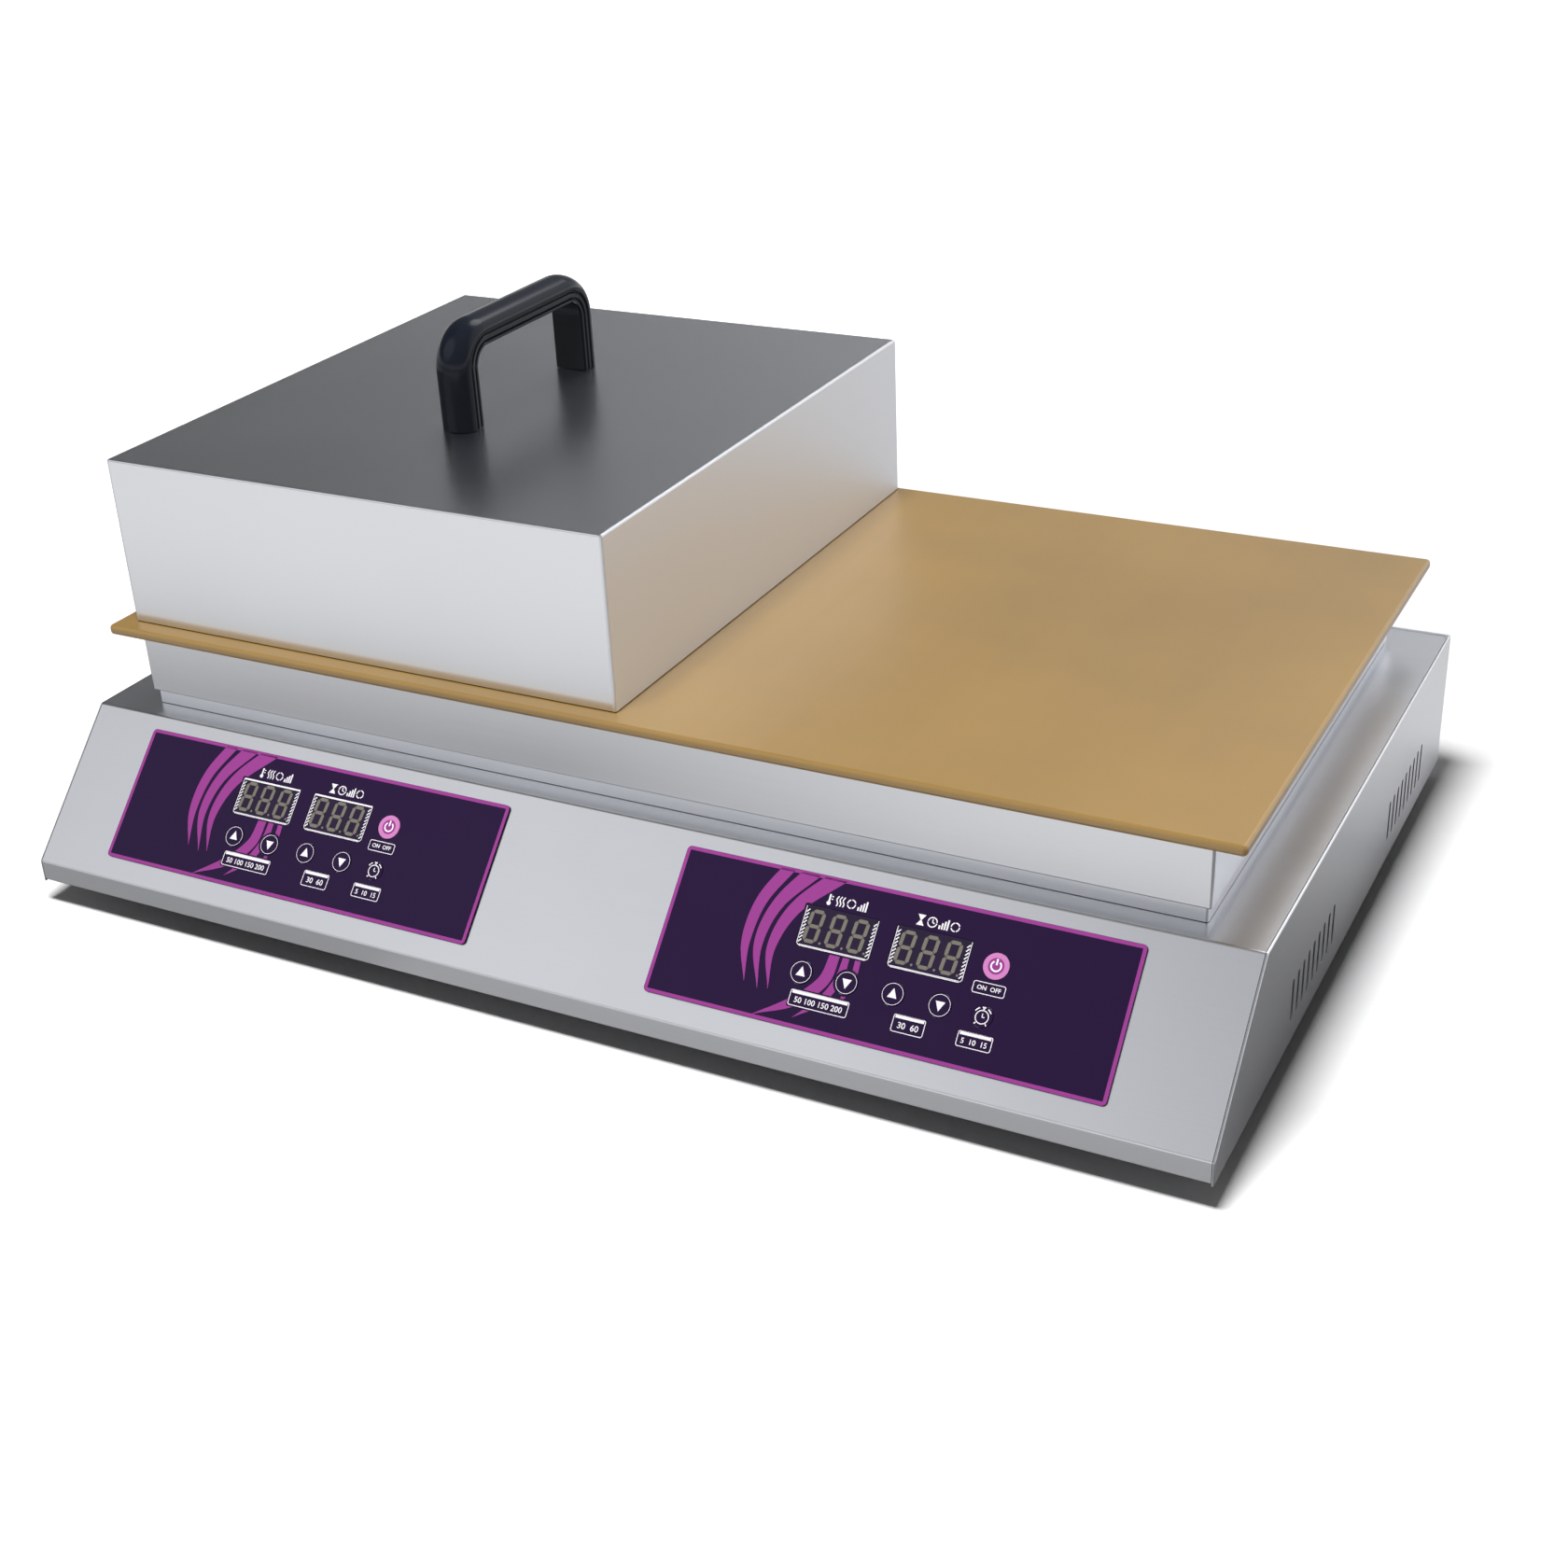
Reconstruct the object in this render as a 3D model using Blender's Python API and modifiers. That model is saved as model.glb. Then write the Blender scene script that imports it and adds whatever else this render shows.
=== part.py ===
"""Two-zone countertop souffle pancake maker.

A low stainless housing with a sloped control front carries a heater box and one
long griddle plate. Each half of the plate has its own heater, probe, relay and
key panel, and a lift-off lid with a bow handle covers the left half.

Everything is first placed on a bench frame: X across the front, Y from the front
lip to the back, Z up from the housing's bottom edge. One empty then moves the
whole machine so that it stands on its feet, centred on the origin.
"""

import math

import bmesh
import bpy
from mathutils import Matrix, Vector

# Housing sheet metal, in metres
BODY_WIDTH = 0.700
BODY_DEPTH = 0.4524
LIP_HEIGHT = 0.0132
SLOPE_RUN = 0.0695
DECK_HEIGHT = 0.0836
SHEET = 0.0012
BEND_RADIUS = 0.0026
RETURN_WIDTH = 0.016
REAR_FLANGE_WIDTH = 0.016
FLANGE_INSET = 0.0002
DECK_LAP = 0.012
DECK_HOLE_MARGIN = 0.026

# Fits
SEAT_GAP = 0.0003
CUT_OVERRUN = 0.004
SCREW_HOLE_PLAY = 0.0003
# Points closer together than this share of the sheet are one point
WELD_SHARE = 0.01

# Rows of air slots in the side, rear and bottom sheets
SIDE_VENT_WIDTH = 0.080
SIDE_VENT_FROM_FRONT = 0.161
SIDE_VENT_FROM_BACK = 0.0954
SIDE_VENT_BASE = 0.014
SLOT_HEIGHT = 0.024
SLOT_WIDTH = 0.0036
SLOT_COUNT = 9
REAR_VENT_WIDTH = 0.180
REAR_VENT_OFFSET = 0.120
REAR_VENT_BASE = 0.036
REAR_SLOT_COUNT = 18
FLOOR_VENT_WIDTH = 0.090
FLOOR_VENT_FROM_SIDE = 0.180
FLOOR_VENT_FROM_BACK = 0.125
FLOOR_SLOT_COUNT = 8

# Push-in feet
FOOT_HEIGHT = 0.014
FOOT_RADIUS = 0.017
FOOT_TAPER = 0.003
FOOT_STEM_RADIUS = 0.0040
FOOT_BARB_RADIUS = 0.0052
FOOT_BARB_HEIGHT = 0.0045
FOOT_DIMPLE_RADIUS = 0.006
FOOT_DIMPLE_DEPTH = 0.004
FOOT_FROM_SIDE = 0.050
FOOT_FROM_FRONT = 0.060
FOOT_FROM_BACK = 0.045

# Screws, nuts and studs
M4_RADIUS = 0.0020
M4_HEAD_RADIUS = 0.0040
M4_HEAD_HEIGHT = 0.0026
M4_LENGTH = 0.006
M5_RADIUS = 0.0025
M5_HEAD_RADIUS = 0.0048
M5_HEAD_HEIGHT = 0.0030
NUT_RADIUS = 0.0046
NUT_HEIGHT = 0.0040
STUD_TAIL = 0.0010

# Riser, heater box and griddle plate
RISER_HEIGHT = 0.0078
RISER_INSET = 0.0020
RISER_WALL = 0.0015
BOX_HEIGHT = 0.0357
BOX_TOP_FLANGE = 0.014
BOX_BOTTOM_FLANGE = 0.022
PLATE_SIDE_MARGIN = 0.014
PLATE_BACK_MARGIN = 0.0104
PLATE_FRONT = 0.0734
PLATE_THICKNESS = 0.006
PLATE_EDGE_ROUND = 0.0018
PLATE_SIDE_OVERHANG = 0.017
PLATE_FRONT_OVERHANG = 0.0086

# Heaters below the plate
TUBE_RADIUS = 0.004
TUBE_RUN_COUNT = 4
TUBE_SIDE_MARGIN = 0.063
TUBE_END_MARGIN = 0.0443
TUBE_LEG_BEND = 0.012
TUBE_BELOW_SHIELD = 0.0078
TERMINAL_RADIUS = 0.0015
TERMINAL_LENGTH = 0.012
TERMINAL_SHOULDER = 0.0005
CLAMP_END_MARGIN = 0.048
CLAMP_WIDTH = 0.016
CLAMP_THICKNESS = 0.003
CLAMP_WEB = 0.020
CLAMP_FROM_FIELD_END = 0.055
INSULATION_AIR = 0.0006
SHIELD_THICKNESS = 0.001
SHIELD_MARGIN = 0.003
PASS_HOLE_PLAY = 0.002

# Temperature sensing below the plate
PROBE_RADIUS = 0.002
PROBE_RUN = 0.036
PROBE_BEND = 0.008
PROBE_BELOW_SHIELD = 0.0093
PROBE_BLOCK_LENGTH = 0.014
PROBE_BLOCK_WIDTH = 0.012
PROBE_BLOCK_HEIGHT = 0.007
CUTOUT_RADIUS = 0.0080
CUTOUT_FLANGE_RADIUS = 0.0115
CUTOUT_FLANGE = 0.0010
CUTOUT_HEIGHT = 0.0090
CUTOUT_TAB_WIDTH = 0.0063
CUTOUT_TAB_THICKNESS = 0.0008
CUTOUT_TAB_LENGTH = 0.0050

# Control panels, measured on the slope
PANEL_FROM_SIDE = 0.0502
PANEL_FROM_MIDDLE = 0.0543
PANELS_LEFTWARD = 0.0044
PANEL_ABOVE_LIP = 0.0123
PANEL_BELOW_DECK = 0.0084
PANEL_THICKNESS = 0.0008
PANEL_CORNER = 0.0025
DISPLAY_WIDTH = 0.0400
DISPLAY_HEIGHT = 0.0215
DISPLAY_SPACING = 0.0094
DISPLAY_MIDDLE_X = -0.0051
DISPLAY_UP = 0.0120
DISPLAY_SUNK = 0.0002
KEY_PITCH = 0.0246
KEY_ROW_UP = -0.0113
KEY_RADIUS = 0.0060
KEY_THICKNESS = 0.0008
KEY_PROUD = 0.0003
KEY_CROWN = 0.0003
KEY_STEM_RADIUS = 0.0020
KEY_TRAVEL = 0.0003
SIDE_KEY_REACH = 0.0143
POWER_KEY_UP = 0.0133
POWER_KEY_RADIUS = 0.0066
TIMER_KEY_UP = -0.0118
TIMER_KEY_RADIUS = 0.0054
BOARD_SIDE_INSET = 0.0078
BOARD_EDGE_INSET = 0.0081
BOARD_THICKNESS = 0.0016
BOARD_STANDOFF = 0.0080
STANDOFF_RADIUS = 0.0030
STANDOFF_MARGIN = 0.006
SWITCH_SIZE = 0.0060
SWITCH_HEIGHT = 0.0035
SWITCH_BUTTON_RADIUS = 0.0017
SWITCH_BUTTON_HEIGHT = 0.0013

# Power parts on the housing floor
SINK_WIDTH = 0.180
SINK_DEPTH = 0.090
SINK_BASE = 0.005
SINK_FIN_HEIGHT = 0.018
SINK_FIN_THICKNESS = 0.002
SINK_FIN_COUNT = 15
SINK_FROM_BACK = 0.240
RELAY_LENGTH = 0.058
RELAY_WIDTH = 0.045
RELAY_HEIGHT = 0.023
RELAY_STEP_HEIGHT = 0.014
RELAY_STEP_LENGTH = 0.011
RELAY_OFFSET = SINK_WIDTH / 4
SUPPLY_WIDTH = 0.100
SUPPLY_DEPTH = 0.070
SUPPLY_FROM_SIDE = 0.150
TRANSFORMER_WIDTH = 0.036
TRANSFORMER_DEPTH = 0.030
TRANSFORMER_HEIGHT = 0.026
CAPACITOR_RADIUS = 0.006
CAPACITOR_HEIGHT = 0.020
TERMINAL_BLOCK_WAYS = 4
TERMINAL_WAY_PITCH = 0.014
TERMINAL_RIB = 0.002
TERMINAL_BASE_HEIGHT = 0.010
TERMINAL_RIB_HEIGHT = 0.016
TERMINAL_BLOCK_DEPTH = 0.024
TERMINAL_FROM_BACK = 0.060
EARTH_STUD_LENGTH = 0.018
EARTH_FROM_GLAND = 0.060

# Cable gland in the rear sheet
GLAND_FROM_SIDE = 0.100
GLAND_UP = 0.034
GLAND_PROUD = 0.016
GLAND_RADIUS = 0.0120
GLAND_NOSE_RADIUS = 0.0085
GLAND_FLANGE = 0.006
GLAND_THREAD_RADIUS = 0.0080
GLAND_THREAD_LENGTH = 0.010
GLAND_BORE = 0.0045
GLAND_NUT_RADIUS = 0.0130
GLAND_NUT_HEIGHT = 0.0045

# Lift-off lid
LID_SIDE_MARGIN = 0.012
LID_MIDDLE_MARGIN = 0.0012
LID_FRONT_MARGIN = 0.011
LID_BACK_MARGIN = 0.0035
LID_HEIGHT = 0.098
LID_SHEET = 0.0012
LID_BEND = 0.0024

# Bow handle on the lid
HANDLE_SPAN = 0.126
HANDLE_HEIGHT = 0.0600
HANDLE_WIDTH = 0.0225
HANDLE_THICKNESS = 0.0160
HANDLE_BEND = 0.019
HANDLE_BORE_DEPTH = 0.020
HANDLE_SCREW_LENGTH = 0.016
# Half of the handle's section below its round back, as shares of the half width
# and the half thickness: two grooves run along each flank.
HANDLE_FLANK_SHARES = (
    (1.00, 0.02), (0.88, -0.06), (0.88, -0.20), (0.97, -0.28),
    (0.97, -0.48), (0.86, -0.56), (0.86, -0.68), (0.94, -0.76), (0.88, -1.00),
)

# Facets
ARC_STEPS = 3
HANDLE_BEND_STEPS = 6
HANDLE_BACK_STEPS = 8
TUBE_BEND_STEPS = 6
ROUND_STEPS = 20
SMALL_ROUND_STEPS = 10
SLOT_END_STEPS = 2
SHARP_ANGLE = math.radians(32)

# Sizes and places worked out from the sizes above
SLOPE_ANGLE = math.atan2(DECK_HEIGHT - LIP_HEIGHT, SLOPE_RUN)
SLOPE_LENGTH = math.hypot(SLOPE_RUN, DECK_HEIGHT - LIP_HEIGHT)
PLATE_WIDTH = BODY_WIDTH - 2 * PLATE_SIDE_MARGIN
PLATE_DEPTH = BODY_DEPTH - PLATE_FRONT - PLATE_BACK_MARGIN
ZONE_WIDTH = PLATE_WIDTH / 2
TUBE_RUN_PITCH = (ZONE_WIDTH - 2 * TUBE_SIDE_MARGIN) / (TUBE_RUN_COUNT - 1)
TUBE_FIELD_DEPTH = PLATE_DEPTH - 2 * TUBE_END_MARGIN
CLAMP_LENGTH = ZONE_WIDTH - 2 * CLAMP_END_MARGIN
CLAMP_SPREAD = TUBE_FIELD_DEPTH - 2 * CLAMP_FROM_FIELD_END
PANEL_WIDTH = BODY_WIDTH / 2 - PANEL_FROM_SIDE - PANEL_FROM_MIDDLE
PANEL_HEIGHT = SLOPE_LENGTH - PANEL_ABOVE_LIP - PANEL_BELOW_DECK
PANEL_CENTRE_X = PANEL_FROM_MIDDLE + PANEL_WIDTH / 2
PANEL_CENTRE_UP = PANEL_ABOVE_LIP + PANEL_HEIGHT / 2
DISPLAY_PITCH = DISPLAY_WIDTH + DISPLAY_SPACING
SIDE_KEY_X = DISPLAY_MIDDLE_X + (DISPLAY_PITCH + DISPLAY_WIDTH) / 2 + SIDE_KEY_REACH
BOARD_WIDTH = PANEL_WIDTH - 2 * BOARD_SIDE_INSET
BOARD_HEIGHT = PANEL_HEIGHT - 2 * BOARD_EDGE_INSET
SUPPLY_X = SUPPLY_FROM_SIDE - BODY_WIDTH / 2
POWER_PARTS_Y = BODY_DEPTH - SINK_FROM_BACK
GLAND_X = BODY_WIDTH / 2 - GLAND_FROM_SIDE
FLOOR_TOP = 2 * SHEET + SEAT_GAP
BACK_INSIDE = BODY_DEPTH - SHEET - SEAT_GAP
RISER_BASE = DECK_HEIGHT + SEAT_GAP
BOX_BASE = RISER_BASE + RISER_HEIGHT + SEAT_GAP
BOX_TOP = BOX_BASE + BOX_HEIGHT
PLATE_BASE = BOX_TOP + SEAT_GAP
PLATE_TOP = PLATE_BASE + PLATE_THICKNESS
BOX_HALF_WIDTH = PLATE_WIDTH / 2 - PLATE_SIDE_OVERHANG
BOX_FRONT = PLATE_FRONT + PLATE_FRONT_OVERHANG
BOX_BACK = PLATE_FRONT + PLATE_DEPTH - PLATE_FRONT_OVERHANG
BOX_MIDDLE_Y = (BOX_FRONT + BOX_BACK) / 2
UNDER_PLATE = PLATE_BASE - SEAT_GAP
TUBE_Z = UNDER_PLATE - TUBE_RADIUS
CLAMP_TOP = TUBE_Z - TUBE_RADIUS - SEAT_GAP
CLAMP_BASE = CLAMP_TOP - CLAMP_THICKNESS
CLAMP_STUD_END = CLAMP_BASE - NUT_HEIGHT - STUD_TAIL
FLANGE_STUD_END = BOX_TOP - SHEET - NUT_HEIGHT - STUD_TAIL
SHIELD_BASE = BOX_BASE + SHEET + SEAT_GAP
INSULATION_BASE = SHIELD_BASE + SHIELD_THICKNESS + SEAT_GAP
INSULATION_THICKNESS = CLAMP_STUD_END - INSULATION_AIR - INSULATION_BASE
ZONE_X = ZONE_WIDTH / 2
ZONES = {"left": -ZONE_X, "right": ZONE_X}
PANELS = {"left": -PANELS_LEFTWARD - PANEL_CENTRE_X, "right": PANEL_CENTRE_X - PANELS_LEFTWARD}
SIDES = {"left": -1, "right": 1}
LID_BASE = PLATE_TOP + SEAT_GAP
LID_TOP = LID_BASE + LID_HEIGHT
LID_LOW_X = -PLATE_WIDTH / 2 + LID_SIDE_MARGIN
LID_HIGH_X = -LID_MIDDLE_MARGIN
LID_FRONT = PLATE_FRONT + LID_FRONT_MARGIN
LID_BACK = PLATE_FRONT + PLATE_DEPTH - LID_BACK_MARGIN
LID_X = (LID_LOW_X + LID_HIGH_X) / 2
LID_Y = (LID_FRONT + LID_BACK) / 2
BOARD_TOP = -SHEET - SEAT_GAP - BOARD_STANDOFF
SWITCH_TOP = BOARD_TOP + SWITCH_HEIGHT + SWITCH_BUTTON_HEIGHT
PANEL_TOP = SEAT_GAP + PANEL_THICKNESS
KEY_BASE = PANEL_TOP + KEY_PROUD - KEY_THICKNESS
KEY_STEM_END = SWITCH_TOP + KEY_TRAVEL + SEAT_GAP

# Turns a flat outline drawn as (depth, height) into the YZ plane
ACROSS = Matrix(((0, 0, 1, 0), (1, 0, 0, 0), (0, 1, 0, 0), (0, 0, 0, 1)))
# Turns a flat outline drawn as (width, height) into the XZ plane
FACING_BACK = Matrix(((1, 0, 0, 0), (0, 0, -1, 0), (0, 1, 0, 0), (0, 0, 0, 1)))
UPSIDE_DOWN = Matrix.Rotation(math.pi, 4, "X")

# Colour, roughness and metallic value of each finish
SATIN_STEEL = ((0.58, 0.59, 0.61), 0.32, 1.0)
DARK_STEEL = ((0.30, 0.30, 0.31), 0.45, 1.0)
BRIGHT_STEEL = ((0.70, 0.70, 0.71), 0.22, 1.0)
GOLD_PLATE = ((0.42, 0.26, 0.10), 0.42, 0.6)
BARE_ALUMINIUM = ((0.72, 0.73, 0.74), 0.40, 1.0)
BLACK_PLASTIC = ((0.012, 0.014, 0.020), 0.18, 0.0)
BLACK_RUBBER = ((0.015, 0.015, 0.015), 0.75, 0.0)
PANEL_PURPLE = ((0.032, 0.014, 0.065), 0.30, 0.0)
KEY_PURPLE = ((0.050, 0.022, 0.090), 0.30, 0.0)
DISPLAY_BLACK = ((0.020, 0.012, 0.030), 0.15, 0.0)
BOARD_GREEN = ((0.02, 0.16, 0.07), 0.50, 0.0)
CREAM_CERAMIC = ((0.72, 0.68, 0.58), 0.80, 0.0)
GREY_PLASTIC = ((0.20, 0.21, 0.22), 0.50, 0.0)
BRASS = ((0.60, 0.42, 0.16), 0.30, 1.0)


def clear_scene():
    """Remove every object that the opened file holds."""
    for obj in list(bpy.data.objects):
        bpy.data.objects.remove(obj, do_unlink=True)


def new_collection(name):
    """Make a collection under the scene."""
    collection = bpy.data.collections.new(name)
    bpy.context.scene.collection.children.link(collection)
    return collection


clear_scene()
PARTS = new_collection("souffle_pancake_maker")
CUTTERS = new_collection("cutters")


def new_empty(name, parent, location, turn_x=0.0):
    """Make an empty that carries parts."""
    empty = bpy.data.objects.new(name, None)
    PARTS.objects.link(empty)
    empty.parent = parent
    empty.location = location
    empty.rotation_euler = (turn_x, 0.0, 0.0)
    return empty


STAND = new_empty("stand", None, (0.0, -(BODY_DEPTH + GLAND_PROUD) / 2, FOOT_HEIGHT))
SLOPE = new_empty("slope", STAND, (0.0, 0.0, LIP_HEIGHT), SLOPE_ANGLE)


def give_finish(obj, look):
    """Give an object its own plain material."""
    colour, roughness, metallic = look
    material = bpy.data.materials.new(obj.name + "_finish")
    material.use_nodes = True
    shader = material.node_tree.nodes["Principled BSDF"]
    shader.inputs["Base Color"].default_value = (*colour, 1.0)
    shader.inputs["Roughness"].default_value = roughness
    shader.inputs["Metallic"].default_value = metallic
    obj.data.materials.clear()
    obj.data.materials.append(material)


def add_part(name, mesh, look, parent=None, location=(0.0, 0.0, 0.0)):
    """Link a named part with its finish, shaded smooth where it is round."""
    obj = bpy.data.objects.new(name, mesh)
    PARTS.objects.link(obj)
    obj.parent = parent or STAND
    obj.location = location
    mesh.shade_smooth()
    mesh.set_sharp_from_angle(angle=SHARP_ANGLE)
    give_finish(obj, look)
    return obj


def combine(obj, mesh, operation, parent=None):
    """Cut a tool shape from a part, or join it on."""
    tool = bpy.data.objects.new(obj.name + "_tool", mesh)
    CUTTERS.objects.link(tool)
    tool.parent = parent or STAND
    tool.hide_render = True
    tool.display_type = "WIRE"
    boolean = obj.modifiers.new(operation.lower(), "BOOLEAN")
    boolean.operation = operation
    boolean.solver = "EXACT"
    boolean.object = tool


def cut(obj, mesh, parent=None):
    """Cut a tool shape from a part."""
    combine(obj, mesh, "DIFFERENCE", parent)


def join_on(obj, mesh, parent=None):
    """Join a tool shape to a part."""
    combine(obj, mesh, "UNION", parent)


def finished_mesh(name, bm):
    """Turn a bmesh of closed solids into a mesh that faces outwards."""
    bmesh.ops.recalc_face_normals(bm, faces=bm.faces)
    mesh = bpy.data.meshes.new(name)
    bm.to_mesh(mesh)
    bm.free()
    return mesh


def evaluated_mesh(obj):
    """Take the mesh that an object's modifiers or curve make, then drop the object."""
    graph = bpy.context.evaluated_depsgraph_get()
    mesh = bpy.data.meshes.new_from_object(obj.evaluated_get(graph))
    bpy.data.objects.remove(obj, do_unlink=True)
    bm = bmesh.new()
    bm.from_mesh(mesh)
    bmesh.ops.remove_doubles(bm, verts=bm.verts, dist=SHEET * WELD_SHARE)
    return finished_mesh(mesh.name, bm)


def blocks(boxes):
    """Make one mesh of separate blocks, each given by its low and high corner."""
    bm = bmesh.new()
    for low, high in boxes:
        low, high = Vector(low), Vector(high)
        made = bmesh.ops.create_cube(bm, size=1.0)
        bmesh.ops.scale(bm, vec=high - low, verts=made["verts"])
        bmesh.ops.translate(bm, vec=(low + high) / 2, verts=made["verts"])
    return finished_mesh("blocks", bm)


def block_at(centre, size):
    """Give the low and high corner of a block from its centre and size."""
    centre, half = Vector(centre), Vector(size) / 2
    return centre - half, centre + half


def rods(places, radius, height, steps=SMALL_ROUND_STEPS):
    """Make one mesh of upright cylinders, each given by the middle of its base."""
    bm = bmesh.new()
    for place in places:
        middle = Vector(place) + Vector((0.0, 0.0, height / 2))
        bmesh.ops.create_cone(bm, cap_ends=True, segments=steps, radius1=radius,
                              radius2=radius, depth=height,
                              matrix=Matrix.Translation(middle))
    return finished_mesh("rods", bm)


def moved(mesh, placing):
    """Give a copy of a mesh in another place."""
    copy = mesh.copy()
    copy.transform(placing)
    return copy


def turned(profile, steps=ROUND_STEPS):
    """Turn a profile of (radius, height) points about Z, drawn from top to bottom."""
    mesh = bpy.data.meshes.new("profile")
    vertices = [(radius, 0.0, height) for radius, height in profile]
    edges = [(i, i + 1) for i in range(len(profile) - 1)]
    if profile[0][0] > 0.0:
        edges.append((len(profile) - 1, 0))
    mesh.from_pydata(vertices, edges, [])
    obj = bpy.data.objects.new("profile", mesh)
    PARTS.objects.link(obj)
    screw = obj.modifiers.new("turn", "SCREW")
    screw.axis = "Z"
    screw.steps = steps
    screw.render_steps = steps
    screw.use_merge_vertices = True
    screw.merge_threshold = SHEET * WELD_SHARE
    return evaluated_mesh(obj)


def tube(points, radius, bevel_resolution=2, radii=None):
    """Sweep a round section along points, with closed ends."""
    curve = bpy.data.curves.new("tube", "CURVE")
    curve.dimensions = "3D"
    curve.bevel_depth = radius
    curve.bevel_resolution = bevel_resolution
    curve.use_fill_caps = True
    spline = curve.splines.new("POLY")
    spline.points.add(len(points) - 1)
    for index, point in enumerate(points):
        spline.points[index].co = (*point, 1.0)
        spline.points[index].radius = radii[index] if radii else 1.0
    obj = bpy.data.objects.new("tube", curve)
    PARTS.objects.link(obj)
    return evaluated_mesh(obj)


def add_loop(curve, points):
    """Add a closed outline to a flat curve."""
    spline = curve.splines.new("POLY")
    spline.points.add(len(points) - 1)
    for index, (x, y) in enumerate(points):
        spline.points[index].co = (x, y, 0.0, 1.0)
    spline.use_cyclic_u = True


def slab(loops, thickness):
    """Fill separate outlines and give them thickness about their plane."""
    curve = bpy.data.curves.new("slab", "CURVE")
    curve.dimensions = "2D"
    curve.fill_mode = "BOTH"
    curve.extrude = thickness / 2
    for loop in loops:
        add_loop(curve, loop)
    obj = bpy.data.objects.new("slab", curve)
    PARTS.objects.link(obj)
    return evaluated_mesh(obj)


def flat(outline, holes, thickness, placing):
    """Fill an outline, cut its holes, and put it in its place."""
    mesh = slab([outline], thickness)
    if holes:
        blank = bpy.data.objects.new("blank", mesh)
        PARTS.objects.link(blank)
        cut(blank, slab(holes, thickness + 2 * CUT_OVERRUN))
        tool = blank.modifiers[0].object
        blank.parent = STAND
        mesh = evaluated_mesh(blank)
        bpy.data.objects.remove(tool, do_unlink=True)
    mesh.transform(placing)
    return mesh


def rectangle(x, y, width, height):
    """Outline a rectangle about its centre."""
    left, right = x - width / 2, x + width / 2
    low, high = y - height / 2, y + height / 2
    return [(left, low), (right, low), (right, high), (left, high)]


def circle(x, y, radius, steps=SMALL_ROUND_STEPS):
    """Outline a circle."""
    turns = [2 * math.pi * step / steps for step in range(steps)]
    return [(x + radius * math.cos(a), y + radius * math.sin(a)) for a in turns]


def rounded(points, radius, steps=ARC_STEPS, closed=True):
    """Round the corners of an outline with arcs of one radius."""
    result = []
    count = len(points)
    for index, point in enumerate(points):
        if not closed and index in (0, count - 1):
            result.append(point)
            continue
        corner = Vector(point)
        before = (Vector(points[index - 1]) - corner).normalized()
        after = (Vector(points[(index + 1) % count]) - corner).normalized()
        half_angle = before.angle(after) / 2
        reach = radius / math.tan(half_angle)
        centre = corner + (before + after).normalized() * radius / math.sin(half_angle)
        start = corner + before * reach - centre
        sweep = -start.angle_signed(corner + after * reach - centre)
        for step in range(steps + 1):
            arm = start.copy()
            arm.rotate(Matrix.Rotation(sweep * step / steps, 2))
            result.append(tuple(centre + arm))
    return result


def offset_path(points, distance):
    """Shift an open path to its right by a distance, with sharp corners kept."""
    normals = []
    for start, end in zip(points, points[1:]):
        along = (Vector(end) - Vector(start)).normalized()
        normals.append(Vector((along.y, -along.x)))
    shifted = [Vector(points[0]) + normals[0] * distance]
    for index in range(1, len(points) - 1):
        middle = normals[index - 1] + normals[index]
        shifted.append(Vector(points[index]) + middle * distance * 2 / middle.length_squared)
    shifted.append(Vector(points[-1]) + normals[-1] * distance)
    return [tuple(point) for point in shifted]


def bent_sheet(path, thickness, bend):
    """Outline a folded sheet from its outer path, with concentric bends."""
    outside = rounded(path, bend, closed=False)
    inside = rounded(offset_path(path, thickness), bend - thickness, closed=False)
    return outside + inside[::-1]


def slot(x, y, width, height):
    """Outline an upright slot with round ends."""
    radius = width / 2
    rise = height / 2 - radius
    points = []
    for step in range(SLOT_END_STEPS + 1):
        angle = math.pi * step / SLOT_END_STEPS
        points.append((x + radius * math.cos(angle), y + rise + radius * math.sin(angle)))
    return points + [(2 * x - px, 2 * y - py) for px, py in points]


def slot_row(middle, base, width, count):
    """Outline a row of upright slots about a middle."""
    pitch = (width - SLOT_WIDTH) / (count - 1)
    first = middle - width / 2 + SLOT_WIDTH / 2
    centre_up = base + SLOT_HEIGHT / 2
    return [slot(first + pitch * i, centre_up, SLOT_WIDTH, SLOT_HEIGHT) for i in range(count)]


def cut_slots(sheet, slots, placing):
    """Cut a row of slots through a sheet."""
    mesh = slab(slots, SHEET + 2 * CUT_OVERRUN)
    mesh.transform(placing)
    cut(sheet, mesh)


def spread(low, high, count):
    """Give evenly spaced values from low to high."""
    return [low + (high - low) * index / (count - 1) for index in range(count)]


def pan_screw(radius, length, head_radius, head_height, steps=SMALL_ROUND_STEPS):
    """Turn a pan-head screw with its head's seat at zero and its shank below."""
    crown_share, shoulder_share = 0.62, 0.5
    return turned([
        (0.0, head_height),
        (head_radius * crown_share, head_height),
        (head_radius, head_height * shoulder_share),
        (head_radius, 0.0),
        (radius, 0.0),
        (radius, -length),
        (0.0, -length),
    ], steps)


def nut_prisms(places):
    """Make hexagon prisms for captive nuts, each given by the middle of its base."""
    return rods(places, NUT_RADIUS, NUT_HEIGHT + SHEET / 2, 6)


def foot_places():
    """Give the four feet's names and places."""
    across = BODY_WIDTH / 2 - FOOT_FROM_SIDE
    places = {}
    for side, sign in SIDES.items():
        places["front_" + side] = (sign * across, FOOT_FROM_FRONT)
        places["rear_" + side] = (sign * across, BODY_DEPTH - FOOT_FROM_BACK)
    return places


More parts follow.
